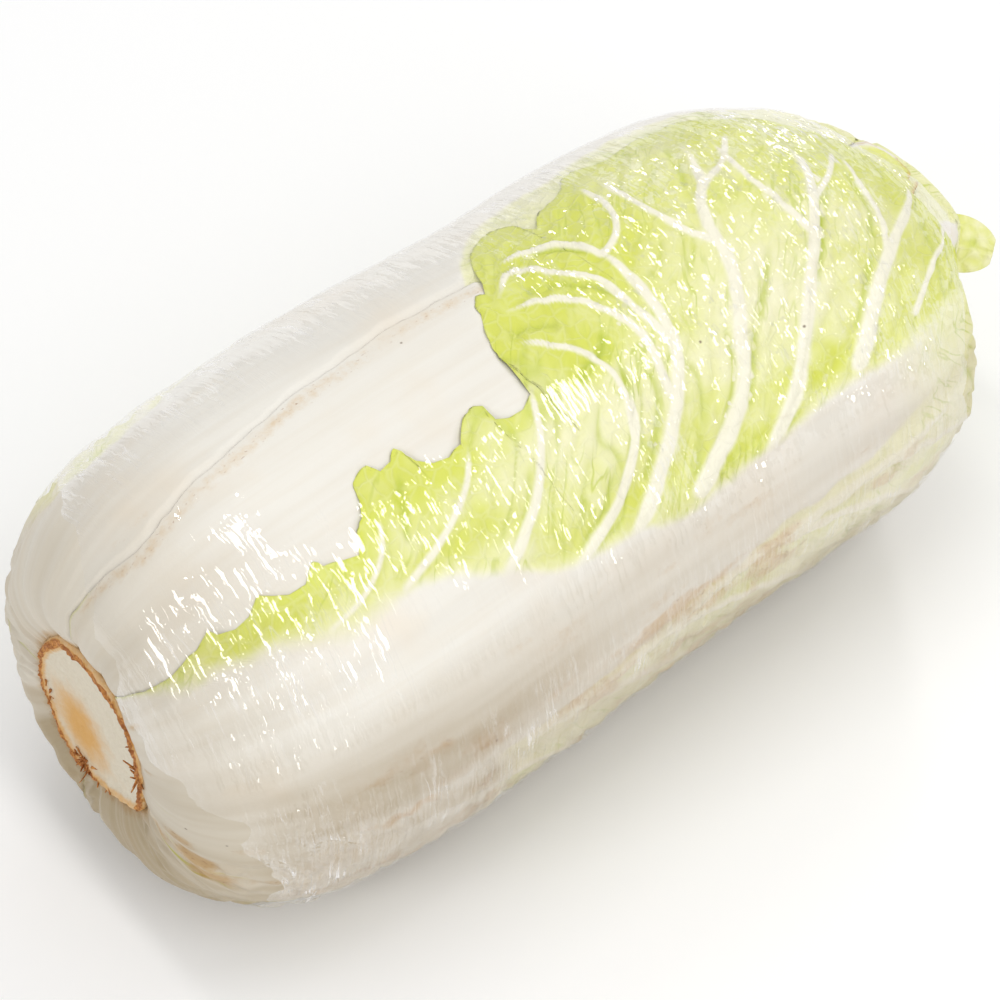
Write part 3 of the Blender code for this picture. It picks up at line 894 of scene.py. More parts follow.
def film_normal(n, flat, blobs):
    """The film's surface: long narrow flats run round the head, rounder flats and dots lie where it
    touches the blade, and a low wave runs over all. Each adds its tilt to the mesh's own normal."""
    drift = n.vector("SUBTRACT", n.noise(flat, 260.0, output=1), (0.5, 0.5, 0.5))
    bent = n.vector("ADD", flat, n.stretched(drift, (0.0022, 0.0060, 0.0)))
    strokes, _ = facet_tilt(n, n.stretched(bent, STROKES), (1.05, 0.60, 0.55))
    rounds, _ = facet_tilt(n, n.stretched(bent, ROUNDS), (0.80, 0.70, 0.70))
    dots, reach = facet_tilt(n, n.stretched(flat, ROUNDS), (0.55, 0.60, 0.55))
    dot = n.times(n.fall(reach, 0.26, 0.30), blobs)
    facing = n.add("NewGeometry").outputs["Normal"]
    for tilt, share in ((strokes, n.field("crumple")), (rounds, blobs), (dots, dot)):
        facing = n.vector("ADD", facing, n.stretched(tilt, share))
    facing = n.vector("NORMALIZE", facing, (0.0, 0.0, 0.0))
    wave = n.noise(n.surface_map((190.0, 26.0, 1.0)), 1.0, 1.0, 0.5, 0.4)
    return n.bump(wave, 0.00010, Normal=facing)


def film_milk(n, flat):
    """How milky the film is: its haze, and thin broken threads that are milkier."""
    thread = n.noise(n.surface_map((300.0, 24.0, 1.0)), 1.0, 3.0, 0.6, 0.9)
    held = n.ramp(n.noise(flat, 90.0, 1.0), 0.35, 0.65)
    thread = n.times(n.thin_line(thread, 0.035), held)
    return n.times(n.field("haze"), n.plus(0.35, n.times(thread, 3.0)), clamp=True)


def film_material(name, film):
    """Clear film: a share of mirror that grows at grazing angles, and a milky share where turns
    lie on each other, over a see-through rest. What is shown is mirror + milk - mirror * milk, and
    the mirror's part of that is metallic. Other rays than the camera's pass it unchanged."""
    n = Nodes(name)
    flat = n.surface_map()
    normal = film_normal(n, flat, n.field("blobs"))
    fresnel = n.add("Fresnel", {"IOR": 1.5, "Normal": normal}).outputs[0]
    mirror = n.maths("MINIMUM", n.times(fresnel, film.mirror), film.most_mirror)
    milk = film_milk(n, flat)
    shown = n.minus(n.plus(mirror, milk), n.times(mirror, milk), clamp=True)
    metal = n.maths("DIVIDE", mirror, n.plus(shown, 0.0001), clamp=True)
    n.shade(Base_Color=film.colour, Roughness=film.roughness, Metallic=metal, Normal=normal)
    seen = n.times(shown, n.add("LightPath").outputs["Is Camera Ray"])
    clear = n.add("BsdfTransparent").outputs[0]
    mixed = n.add("MixShader", {0: seen, 1: clear, 2: n.surface.outputs[0]})
    n.join(mixed.outputs[0], n.output.inputs["Surface"])
    return n.material


def stem_material(name, colours):
    """The dried cut: pale pith, a tan stain, and a brown fibrous rim."""
    n = Nodes(name)
    place = n.add("TexCoord").outputs["Object"]
    grain = n.noise(place, 700.0, 4.0, 0.7)
    cloud = n.noise(place, 160.0, 4.0, 0.6)
    ragged = n.plus(n.field("rim"), n.times(n.centred(grain), 0.30))
    spread = n.plus(n.field("stain"), n.times(n.centred(cloud), 0.6))
    pith = n.mix(grain, colours.pith, colours.pith_shade)
    pith = n.mix(n.ramp(spread, 0.05, 0.9), pith, colours.tan)
    ring = n.mix(n.ramp(ragged, 0.15, 0.60), pith, colours.tan)
    bark = n.mix(n.ramp(grain, 0.35, 0.7), colours.bark, colours.bark_light)
    colour = n.mix(n.ramp(ragged, 0.50, 0.74), ring, bark)
    normal = n.bump(n.plus(grain, cloud), 0.0006, 0.9)
    n.shade(Base_Color=colour, Roughness=0.75, Normal=normal)
    return n.material


# --- the leaves, from the outermost inwards ---
def side_veins(rib_edge, side, first, last, spacing, seed, reach):
    """Secondary veins: each leaves the midrib's edge at a slant, bends toward the tip and forks. A
    vein is (its line, width and end width in millimetres, strength), and reaches so many degrees."""
    chance = np.random.default_rng(seed)
    edge = to_place(rib_edge)
    veins = []
    for along in np.arange(first, last, spacing):
        along = along + chance.uniform(-0.2, 0.2) * spacing
        root = float(angle_on(edge, SIDE_START + along * 0.001))
        lean = chance.uniform(0.85, 1.2)
        middle = (along + 24 * lean, root + side * 20)
        main = ((along, root - side * 3), (along + 9 * lean, root + side * 8), middle,
                (along + 38 * lean, root + side * 0.8 * reach),
                (along + 44 * lean, root + side * reach))
        upper = (middle, (along + 40 * lean, root + side * 28),
                 (along + 56 * lean, root + side * 0.9 * reach))
        lower = ((along + 10 * lean, root + side * 10), (along + 12 * lean, root + side * 22),
                 (along + 16 * lean, root + side * 33))
        veins += [(main, 2.4, 0.7, 0.95), (upper, 1.3, 0.5, 0.8), (lower, 1.0, 0.5, 0.7)]
    return tuple(veins)


# Drawn veins and creases: (a line, its width and end width in millimetres, its strength).
FRONT_VEINS = (
    (((104, 40), (125, 52), (135, 63), (140, 72)), 2.0, 0.8, 0.85),
    (((128, 33), (150, 42), (161, 51), (166, 60)), 2.2, 0.9, 0.9),
    (((148, 31), (165, 42), (175, 50), (185, 62), (187, 75), (186, 85), (185, 92)), 2.6, 1.3, 1.0),
    (((185, 90), (181, 97), (176, 101), (168, 103), (160, 104)), 1.2, 0.7, 0.9),
    (((185, 90), (192, 92), (197, 97), (199, 103), (198, 112)), 1.2, 0.7, 0.9),
    (((176, 54), (178, 70), (174, 77), (169, 83), (160, 88), (150, 90)), 1.4, 0.6, 0.95),
    (((184, 66), (181, 76), (178, 86), (172, 91), (160, 100), (151, 94)), 1.4, 0.6, 0.95),
    (((160, 51), (164, 62), (160, 72), (152, 78), (145, 82)), 1.2, 0.6, 0.8),
    (((173, 31), (200, 48), (205, 57), (212, 66), (216, 76), (218, 86), (225, 92), (232, 107)),
     3.0, 1.2, 1.0),
    (((216, 76), (209, 86), (206, 96), (204, 110)), 1.4, 0.7, 0.85),
    (((225, 92), (237, 97), (246, 106)), 1.3, 0.6, 0.8),
    (((198, 29), (215, 40), (225, 50), (235, 60), (243, 68), (250, 76), (256, 85), (258, 95)), 2.8, 1.3, 1.0),
    (((243, 68), (240, 80), (238, 92), (240, 104)), 1.3, 0.7, 0.85),
    (((250, 76), (262, 82), (271, 90)), 1.2, 0.6, 0.8),
    (((236, 36), (250, 48), (262, 56), (275, 63), (285, 69), (290, 76)), 3.0, 1.2, 1.0),
    (((262, 56), (268, 66), (270, 78), (272, 88)), 1.3, 0.6, 0.8),
    (((262, 40), (276, 48), (290, 54), (300, 60)), 1.6, 0.8, 0.8),
    (((76, 50), (96, 56), (108, 62), (114, 68)), 1.6, 0.6, 0.7),
    (((52, 51), (66, 54), (76, 60), (80, 66)), 1.2, 0.5, 0.6),
    (((100, -1), (140, -1), (160, 2), (180, 4), (200, 5), (240, 6), (270, 10)), 2.6, 2.0, 0.95),
    (((60, -6), (90, -10), (112, -18), (126, -30), (134, -44)), 2.2, 0.8, 0.9),
    (((112, -2), (140, -9), (160, -18), (176, -30), (184, -42)), 2.2, 0.8, 0.9),
    (((152, 0), (178, -6), (200, -14), (216, -26), (226, -40)), 2.2, 0.8, 0.9),
    (((196, 4), (220, -1), (240, -8), (256, -18), (266, -32)), 2.0, 0.8, 0.9),
    (((236, 6), (258, 2), (276, -6), (290, -16)), 1.8, 0.7, 0.85),
)
FRONT_CREASES = (
    (((148, 41), (158, 49), (165, 58), (168, 67)), 0.9, 0.6, 1.0),
    (((203, 32), (215, 39), (225, 48), (232, 56), (240, 62), (250, 72), (259, 79)), 0.9, 0.7, 1.0),
    (((198, 42), (205, 50), (212, 57), (222, 64), (228, 70)), 0.8, 0.5, 0.8),
    (((160, 92), (166, 90), (172, 87), (178, 82), (182, 74), (184, 64)), 0.8, 0.6, 0.9),
    (((162, 98), (168, 101), (172, 101), (178, 98), (183, 92)), 0.8, 0.5, 0.8),
    (((155, 67), (160, 69), (165, 70), (169, 74)), 1.8, 1.2, 1.0),
    (((84, 59), (87, 63), (89, 67), (92, 71)), 1.0, 0.6, 0.8),
    (((108, 43), (118, 49), (127, 57)), 1.0, 0.5, 0.5),
    (((130, 36), (140, 40), (150, 46)), 1.0, 0.5, 0.6),
    (((158, 41), (166, 47), (172, 54), (175, 62)), 0.8, 0.5, 0.7),
    (((178, 35), (190, 43), (198, 51), (202, 60)), 1.0, 0.6, 0.7),
    (((240, 44), (250, 52), (258, 59)), 0.9, 0.6, 0.7),
    (((262, 62), (267, 72), (268, 82)), 0.8, 0.6, 0.7),
    (((222, 96), (226, 103), (229, 112)), 0.8, 0.5, 0.7),
    (((146, 84), (154, 83), (160, 80)), 0.7, 0.5, 0.6),
)


def spots(path, angle, places):
    """Soft round marks, each given by (along, angle, length, width in millimetres, strength)."""
    mark = np.zeros(path.shape)
    for along, at_angle, length, width, strength in places:
        over = (path - SIDE_START - along * 0.001) / (length * 0.001)
        up = (angle - at_angle) * DEGREE / (width * 0.001)
        mark = np.maximum(mark, strength * np.exp(-over**2 - up**2))
    return mark


# Soft marks on the front leaf: (along, angle, length, width in millimetres, strength). They are stains and
# bruises, except the one at (30, -26), which is painted shade under the film's gathered pleats.
FRONT_STAINS = (
    (-6, -8, 6, 5, 1.4), (-2, -15, 7, 6, 1.1), (-11, -12, 4, 3, 0.9), (9, 4, 8, 2.5, 0.35),
    (14, -12, 9, 3, 0.5), (30, -26, 14, 9, 0.55), (-18, 30, 5, 2, 0.6), (-14, 52, 7, 2, 0.6),
    (-18, -14, 5, 3, 0.8), (88, 6, 10, 2, 0.5), (110, 8, 12, 2, 0.5), (134, 6, 9, 2, 0.45),
    (150, 12, 12, 3, 0.4), (186, 20, 14, 3, 0.4), (100, 25, 9, 4, 0.22), (117, 20, 12, 5, 0.34),
    (154, 19, 8, 3, 0.36), (171, 22, 8, 4, 0.32), (240, 34, 10, 4, 0.26), (86, 10, 16, 6, 0.34),
    (72, 4, 14, 5, 0.42), (104, 7, 12, 5, 0.30), (130, 24, 12, 4, 0.22), (60, 6, 18, 7, 0.20),
    (-10, 1, 5, 4, 0.75), (-16, -3, 4, 3, 0.55), (3, -10, 12, 4, 0.30), (205, 34, 8, 4, 0.20),
    (120, 6, 18, 6, 0.26), (140, 10, 14, 5, 0.24),
)
PETIOLE_LINES = (
    (-12, -16, 9, 1.0, 0.9), (-3, -18, 8, 1.3, 0.8), (-16, -9, 6, 0.8, 0.7), (-14, 12, 8, 0.7, 0.5),
    (2, -11, 12, 1.2, 0.5),
)
LOW_GREENS = (
    (100, -16, 12, 5, 0.45), (185, -6, 14, 6, 0.45), (218, -1, 18, 6, 0.50), (255, -5, 14, 6, 0.45),
)


FRONT_WEDGES = (
    (150, 38, 24, 5, 0.35), (186, 34, 22, 5, 0.40), (222, 40, 22, 5, 0.40), (68, 68, 14, 4, 0.4),
    (92, 66, 14, 6, 0.5), (45, 58, 20, 4, 0.4), (160, 70, 12, 6, 0.7), (182, 92, 20, 9, 0.45),
    (95, 52, 20, 5, 0.40),
)
FRONT_PALES = ((223, 58, 22, 14, 0.26), (157, 55, 16, 8, 0.18), (262, 70, 14, 14, 0.16))


def front_greens(path, angle, from_edge):
    """What is added to the front leaf's green: its big upper lobe, its ruffled edge, its wedges
    between the veins, its crest and a band beside the midrib, less its pale places."""
    lobe = window(path, 0.160, 0.222, 0.014) * rise(angle, 62.0, 84.0)
    margin = window(path, 0.040, 0.150, 0.010) * np.exp(-from_edge / 0.014)
    crest = window(path, 0.160, 0.320, 0.016) * rise(angle, 66.0, 96.0)
    near_rib = window(angle, 22.0, 58.0, 10.0) * window(path, 0.150, 0.330, 0.020)
    return (0.40 * lobe, 0.25 * margin, spots(path, angle, FRONT_WEDGES),
            -spots(path, angle, FRONT_PALES), 0.18 * crest, 0.06 * near_rib)


def paint_front(fields, path, angle, from_edge):
    """The front leaf is green above its midrib and pale below it, where its petiole has fine
    yellow-green lines; the midrib's far end turns green, and its low side is bruised and stained."""
    above = rise(angle, 10.0, 30.0)
    green = sum(front_greens(path, angle, from_edge), fields["green"]) * above
    low_pale = (1.0 - above) * (1.0 - past_turn(path, 0.075, 0.105))
    petiole = spots(path, angle, PETIOLE_LINES)
    white = np.maximum(fields["white"], low_pale) * (1.0 - petiole)
    green = green + (1.0 - above) * (0.10 + spots(path, angle, LOW_GREENS)) + petiole
    green = green - 0.12 * window(path, 0.235, 0.345, 0.02) * (1.0 - above)
    ending = past_turn(path, 0.215, 0.285)
    fields["white"] = white * (1.0 - 0.85 * ending)
    fields["green"] = green + 0.30 * ending * above
    scuffed = (window(angle, -36.0, 17.0, 7.0)
               * window(path, SIDE_START + 0.030, SIDE_START + 0.270, 0.030))
    bands = rough_noise(path / 0.022, angle * DEGREE / 0.0075, 46)
    scuffed = scuffed * rise(bands, -0.25, 0.75)
    fields["stain"] = np.maximum(spots(path, angle, FRONT_STAINS), 0.80 * scuffed)


def paint_pale(fields, path, angle, from_edge):
    """A leaf that grew shaded: little green, more toward its edges."""
    fields["green"] = fields["green"] * 0.6
    fields["stain"] = 0.22 * rise(noise(path / 0.05, angle * DEGREE / 0.007, 41), 0.6, 0.95)


def paint_top(fields, path, angle, from_edge):
    """The smooth ivory leaf, a little brown and pink along its high edge."""
    paint_pale(fields, path, angle, from_edge)
    along = window(path, 0.020, 0.190, 0.012)
    near_edge = bell(angle - angle_on(to_place(TOP_EDGE), path) + 2.5, 2.6)
    patchy = 0.6 + 0.4 * noise(path / 0.018, angle * 0.0, 45)
    fields["stain"] = 0.55 * along * near_edge * patchy


def paint_shaded(fields, path, angle, from_edge):
    """The leaf that the head lies on: nearly white all over."""
    fields["green"] = fields["green"] * 0.35
    fields["white"] = np.maximum(fields["white"], 0.35)


def paint_browned(fields, path, angle, from_edge):
    """A yellow leaf whose edge has dried brown."""
    fields["green"] = 0.30 + 0.5 * fields["green"]
    edge = np.exp(-from_edge / 0.0022)
    patches = rise(noise(path / 0.006, angle * DEGREE / 0.006, 44), 0.35, 0.9)
    patchy = 0.7 + 0.6 * noise(path / 0.004, angle * DEGREE / 0.004, 43)
    fields["stain"] = np.clip(1.3 * edge * patchy + 0.6 * patches, 0.0, 1.0)


BASE = -27.7  # how far along the cut stem's rim lies
FRONT_MIDDLE = (
    (BASE, 24), (13, 26), (70, 22), (120, 16), (161, 15), (208, 16), (242, 23), (268, 28), (300, 33),
    (324, 34),
)
FRONT_RIB_LOW = (
    (BASE, -10), (0, -5), (40, 0), (120, 1), (150, 3), (180, 6), (200, 8), (220, 11), (240, 13), (260, 17),
    (285, 22), (324, 30),
)
FRONT_RIB_HIGH = (
    (BASE, 66), (0, 62), (13, 60.5), (30, 57.5), (45, 55), (60, 53.5), (75, 51.5), (90, 47.5), (105, 43),
    (120, 36), (140, 33), (160, 30), (175, 29), (200, 30), (215, 32), (240, 35), (260, 37), (285, 39),
    (324, 37),
)
FRONT_LOW_EDGE = (
    (BASE, -12), (-20, -18), (-10, -22), (0, -27), (15, -33), (40, -38), (80, -44), (120, -47), (200, -46),
    (260, -42), (290, -30), (312, -6), (322, 16), (324, 26),
)
FRONT_HIGH_EDGE = (
    (BASE, 66), (-20, 64.5), (-9, 62.5), (-2, 61.2), (6.7, 60.7), (15, 62.5), (19, 63.5), (22.9, 65.4),
    (26, 62.4), (29.5, 62), (34.5, 62.4), (37, 64), (40, 65.6), (43, 63.2), (47, 62.5), (53, 62.4),
    (55, 64), (57, 65.6), (60, 63.4), (64, 62.5), (69, 61.5), (70.5, 63), (72, 65.5), (77, 68.5),
    (78.5, 72), (81, 75.5), (86, 76.3), (89, 73.2), (92, 74.6), (95, 76.2), (98, 72), (102, 69.4),
    (108, 68.8), (113, 69.4), (115, 71.8), (118, 74), (121.5, 74.8), (124.5, 73.5), (124, 70.2),
    (128, 68.6), (135, 68.5), (138.5, 70.5), (139.5, 75), (138.5, 80), (138.5, 84), (139.5, 88),
    (142, 90.5), (144, 96), (147, 98.4), (150, 98), (152, 103), (155, 109), (160, 114.5), (165, 116.8),
    (170, 117.4), (174, 115.5), (176.4, 110), (178, 108), (180, 109.8), (182, 112), (190, 114.5),
    (195, 116.8), (200, 121), (204, 122), (208, 121), (212, 118.4), (220, 120), (228, 121.8), (235, 120.6),
    (240, 122), (246, 119.5), (252, 115.4), (257, 114), (263, 112), (268, 107), (273, 104), (279, 98),
    (284, 92), (288, 83), (292, 72), (296, 62), (302, 52), (312, 44), (324, 38),
)
# How far along the middle line each share of the grid's rows stands.
FRONT_PACE = (
    (0, BASE), (0.11, 31), (0.2, 76), (0.3, 115), (0.41, 156), (0.5, 182), (0.6, 203), (0.7, 224),
    (0.8, 250), (0.9, 287), (1, 324),
)


def front_leaf():
    """The big outer leaf of the front: broad midrib low on the side, green blade over the top."""
    return Leaf(
        "front_leaf", "wrapper_leaf_front", "green_leaf", FRONT_MIDDLE, (FRONT_RIB_LOW, FRONT_RIB_HIGH),
        FRONT_LOW_EDGE, FRONT_HIGH_EDGE, veins=FRONT_VEINS, creases=FRONT_CREASES, seed=100,
        paint=paint_front, edge_depth=0.0017, green_above=57.0, pace=FRONT_PACE)


TOP_EDGE = (
    (BASE, 98), (-8, 97), (8, 95), (19, 92.5), (30, 94), (45, 96.5), (67, 99), (80, 101), (100, 102),
    (120, 103.5), (140, 103), (170, 102), (220, 102), (250, 101), (268, 96), (276, 88),
)


def back_leaf():
    """The leaf that makes the upper outline: a white flank toward the top, green over the back."""
    middle = ((BASE, 138), (60, 121), (140, 132), (220, 140), (290, 138), (317, 132))
    rib_low = (
        (BASE, 90), (0, 88), (19, 84), (60, 90), (140, 96), (160, 118), (200, 126), (260, 130), (317, 126),
    )
    rib_high = (
        (BASE, 168), (0, 152), (20, 140), (35, 134), (60, 137), (80, 146), (100, 152), (140, 158),
        (200, 160), (260, 154), (317, 140),
    )
    low_edge = (
        (BASE, 88), (100, 92), (200, 92), (250, 92), (270, 92), (284, 96), (296, 106), (307, 117),
        (317, 124),
    )
    high_edge = (
        (BASE, 180), (0, 170), (12, 166), (20, 170), (32, 171), (40, 176), (48, 175), (60, 181), (72, 180),
        (84, 187), (92, 186), (104, 195), (112, 194), (122, 203), (128, 211), (136, 214), (150, 213),
        (165, 216), (180, 214), (196, 218), (210, 215), (230, 216), (250, 212), (266, 208), (280, 199),
        (295, 184), (308, 163), (317, 140),
    )
    veins = side_veins(rib_high, 1, 20, 250, 30, 7, 48)
    return Leaf("back_leaf", "wrapper_leaf_back", "white_leaf", middle, (rib_low, rib_high), low_edge,
                high_edge, veins=veins, seed=200, paint=paint_pale, cells=(360, 176), top=0.0012)


def underside_leaf():
    """The leaf that the head lies on."""
    middle = ((BASE, -68), (200, -66), (312, -68))
    rib_low = ((BASE, -92), (80, -86), (200, -80), (312, -72))
    rib_high = ((BASE, -46), (80, -48), (200, -52), (312, -62))
    low_edge = (
        (BASE, -108), (20, -104), (60, -108), (110, -114), (200, -115), (260, -110), (296, -96), (312, -76),
    )
    high_edge = (
        (BASE, -6), (-8, -9), (20, -16), (60, -20), (110, -20), (200, -20), (260, -26), (296, -42),
        (312, -60),
    )
    veins = side_veins(rib_high, 1, 30, 250, 34, 8, 34)
    return Leaf("underside_leaf", "wrapper_leaf_underside", "white_leaf", middle, (rib_low, rib_high),
                low_edge, high_edge, veins=veins, seed=300, paint=paint_shaded, cells=(240, 128),
                thickness=0.0040, top=0.0008)


def top_leaf():
    """The leaf under the front leaf's ruffled edge: a smooth ivory midrib along the top."""
    middle = ((BASE, 84), (276, 82))
    rib_low = ((BASE, 46), (150, 48), (230, 60), (276, 70))
    rib_high = ((BASE, 112), (150, 114), (230, 112), (276, 108))
    low_edge = ((BASE, 44), (100, 42), (200, 44), (245, 48), (268, 62), (276, 78))
    return Leaf("top_leaf", "wrapper_leaf_top", "white_leaf", middle, (rib_low, rib_high), low_edge,
                TOP_EDGE, seed=400, paint=paint_top, cells=(320, 128), top=0.0019, blade_drop=0.0003,
                swell=0.0002)


def rear_low_leaf():
    """The leaf that closes the back near the surface, with its own midrib and green blade."""
    middle = ((BASE, 226), (307, 226))
    rib_low = ((BASE, 200), (80, 204), (200, 214), (307, 222))
    rib_high = ((BASE, 252), (80, 248), (200, 240), (307, 230))
    low_edge = (
        (BASE, 168), (0, 160), (40, 166), (120, 172), (200, 174), (260, 178), (292, 194), (307, 218),
    )
    high_edge = (
        (BASE, 262), (20, 264), (60, 268), (110, 276), (160, 279), (220, 278), (270, 268), (295, 252),
        (307, 234),
    )
    veins = side_veins(rib_low, -1, 40, 250, 32, 9, 34) + side_veins(rib_high, 1, 30, 240, 32, 10, 32)
    return Leaf("rear_low_leaf", "wrapper_leaf_rear_low", "pale_leaf", middle, (rib_low, rib_high),
                low_edge, high_edge, veins=veins, seed=500, paint=paint_pale, cells=(320, 160),
                thickness=0.0042, top=0.0010)


def browned_leaf():
    """The tip leaf with the dried edge, seen past the front leaf's end."""
    middle = ((197, 98), (260, 98), (306, 97))
    rib_low = ((197, 92), (306, 96))
    rib_high = ((197, 104), (306, 100))
    low_edge = ((197, 60), (240, 56), (270, 60), (288, 68), (296, 76), (303, 86), (306, 94))
    high_edge = (
        (197, 132), (230, 136), (255, 134), (272, 128), (284, 120), (293, 112), (301, 104), (306, 99),
    )
    veins = side_veins(rib_high, 1, 200, 280, 20, 11, 30)
    return Leaf("browned_tip_leaf", "tip_leaf_browned", "pale_leaf", middle, (rib_low, rib_high),
                low_edge, high_edge, veins=veins, seed=600, paint=paint_browned, cells=(160, 96),
                thickness=0.0020, top=0.0006)


INNER_LEAVES = (
    ("inner_leaf_front_high", 56.0, 317.0), ("inner_leaf_back_low", 200.0, 312.0),
    ("inner_leaf_front_low", -16.0, 307.0), ("inner_leaf_back_high", 128.0, 307.0),
    ("inner_leaf_underside", 272.0, 307.0),
)


def inner_leaf(node, middle, end, seed):
    """A leaf under the wrappers, of which only the base and the ruffled tip show. Its lines lie
    the same number of degrees on both sides of its middle."""
    def beside(side, line):
        """A line of (along, degrees from the middle) on one side."""
        return tuple((along, middle + side * away) for along, away in line)

    rib = ((BASE, 26), (150, 16), (end, 4))
    edge = ((BASE, 46), (120, 50), (end - 50, 48), (end - 22, 36), (end - 8, 20), (end, 6))
    return Leaf(
        node.replace("inner_leaf", "folded_leaf"), node, "pale_leaf", ((BASE, middle), (end, middle)),
        (beside(-1, rib), beside(1, rib)), beside(-1, edge), beside(1, edge), seed=seed,
        paint=paint_pale, stride=4, thickness=0.0040)


# --- the heart, the curled tip, the cut stem ---
def closed_turned_faces(rows, columns):
    """Faces of a wrapped grid whose first and last rows are closed by a pole vertex each. The
    poles come after the grid's vertices."""
    quads = grid_quads(rows, columns, wrap=True)
    ring = np.arange(columns)
    beside = (ring + 1) % columns
    start_pole, end_pole = rows * columns, rows * columns + 1
    last = (rows - 1) * columns
    fans = [np.stack([np.full(columns, start_pole), beside, ring], axis=-1),
            np.stack([np.full(columns, end_pole), last + ring, last + beside], axis=-1)]
    return quads, np.concatenate(fans)


def with_poles(grid):
    """A wrapped grid's points or values with the middle of its first and last row added."""
    flat = grid.reshape(-1, *grid.shape[2:])
    return np.concatenate([flat, grid[0].mean(axis=0)[None], grid[-1].mean(axis=0)[None]])


def leaf_fields(uv, **given):
    """A leaf's fields, zero where they aren't given, its painted shade too; its veins run as its map does."""
    fields = {key: np.zeros(len(uv)) for key in ("white", "vein", "green", "crease", "stain", "painted_shade")}
    return {**fields, "down": uv[:, 0], "over": uv[:, 1], **given}


HEART_ROWS, HEART_COLUMNS = 110, 96
HEART_START, HEART_END = 0.006, 0.366
HEART_GAP = 0.0012  # between the heart and the leaves over it
HEART_FOLDS = 3.0  # round it
HEART_WIND = 190.0  # radians a metre by which the folds wind round


def make_heart(material):
    """The folded heart: the form under all the leaves, with folds that wind round its tip. A fold
    is the cosine of a turn that grows with the angle and with the path."""
    path, angle = np.meshgrid(np.linspace(HEART_START, HEART_END, HEART_ROWS),
                              np.arange(HEART_COLUMNS) * 360.0 / HEART_COLUMNS, indexing="ij")
    fold = np.cos(np.radians(HEART_FOLDS * angle) + HEART_WIND * (path - 0.28))
    tip = rise(path, 0.26, 0.33)
    raised = 0.0016 * tip * (np.abs(fold)**0.5 - 0.3)
    depth = LAYERS.clear_depth(path, angle) + HEART_GAP - raised
    quads, triangles = closed_turned_faces(HEART_ROWS, HEART_COLUMNS)
    uv = with_poles(np.stack([path, angle * DEGREE], axis=-1))
    crease = with_poles(tip * bell(fold, 0.25))
    fields = leaf_fields(uv, white=0.2 * (1 - crease), green=np.full(len(uv), 0.35), crease=0.6 * crease)
    piece = make_piece("folded_heart", with_poles(on_head(path, angle, depth)), quads[:, ::-1],
                       triangles[:, ::-1], material, uv, fields)
    place_piece(piece, "pale_leaf", "heart_leaves")


CURLED_TIP_MIDDLE = np.array((BUTT_X + 0.3108, -0.0180, AXIS_HEIGHT + 0.0125))
CURLED_TIP_OUTWARD = np.array((0.663, -0.733, -0.152))
CURLED_TIP_FACING = np.array((-0.381, -0.506, 0.774))
CURLED_TIP_CELLS = 81  # of its grid, both ways
CURLED_TIP_HALF = 0.0088  # half its width
CURLED_TIP_LENGTH = 0.020
CURLED_TIP_ROOT = -0.0125  # how far behind its middle it starts
CURLED_TIP_THICKNESS = 0.0008


def curled_tip_surface():
    """The curled tip as distances across and along it and its height, all on one grid, with how
    near each place is to the rim and how far up a blister. Its half width follows a circle's
    height; its drop grows with the square of the distance from its middle."""
    steps = CURLED_TIP_CELLS
    along, across = np.meshgrid(np.linspace(0.0, 1.0, steps), np.linspace(-1.0, 1.0, steps),
                                indexing="ij")
    half = CURLED_TIP_HALF * np.sqrt(np.clip(1.0 - (1.62 * along - 0.72)**2, 0.02, 1.0))
    rim = np.maximum(np.abs(across), along)
    u, v = across * half, CURLED_TIP_LENGTH * along + CURLED_TIP_ROOT
    nearest, second = cells(u / 0.0052 + 7.0, v / 0.0052 + 3.0, 61)
    dome = rise(second - nearest, 0.0, 0.8)
    cup = 0.0018 * (across**2 + (along - 0.3)**2)
    wave = 0.0004 * rim**6 * np.sin(9.0 * np.arctan2(across, along - 0.4))
    return u, v, 0.00045 * dome - cup + wave, rim, dome


def make_curled_tip(material):
    """The curled tip: a round flap, cupped along both ways, with a ruffled rim and blisters."""
    normal = CURLED_TIP_FACING / np.linalg.norm(CURLED_TIP_FACING)
    outward = CURLED_TIP_OUTWARD - normal * (CURLED_TIP_OUTWARD @ normal)
    outward /= np.linalg.norm(outward)
    sideways = np.cross(normal, outward)
    u, v, lift, rim, dome = curled_tip_surface()
    spread = u[..., None] * sideways + v[..., None] * outward
    outer = CURLED_TIP_MIDDLE + spread + lift[..., None] * normal
    inner = CURLED_TIP_MIDDLE + spread + (lift - CURLED_TIP_THICKNESS)[..., None] * normal
    coarse = inner[::INNER_STRIDE, ::INNER_STRIDE]
    quads, triangles = shell(outer.shape[:2], coarse.shape[:2])
    flat = np.stack([u, v], axis=-1)
    uv = both_sides(flat, flat)
    spot = np.exp(-((u - 0.001)**2 + (v - 0.001)**2) / 0.0016**2)
    green, crease, stain = 0.30 + 0.25 * (1 - dome), 0.6 * spot, 0.20 * rim**12
    fields = leaf_fields(uv, green=both_sides(green, green), crease=both_sides(crease, crease),
                         stain=both_sides(stain, stain))
    points = both_sides(outer, inner)
    piece = make_piece("curled_tip", points, quads, triangles, material, uv, fields)
    orient(piece)
    place_piece(piece, "green_leaf", "tip_leaf_curled")


def orient(piece):
    """Turn a closed piece's faces outward."""
    shape = bmesh.new()
    shape.from_mesh(piece.data)
    bmesh.ops.recalc_face_normals(shape, faces=shape.faces)
    shape.to_mesh(piece.data)
    shape.free()


STUMP_RECESS = 0.0044  # how far the cut face lies inside the butt
STUMP_DEPTH = 0.050  # how far the stem's side runs back into the head
STUMP_PLACE = (BOW[0, 1] + STUMP_MIDDLE[0], AXIS_HEIGHT + STUMP_MIDDLE[1])
FACE_ROWS, SIDE_ROWS, STUMP_COLUMNS = 64, 14, 192


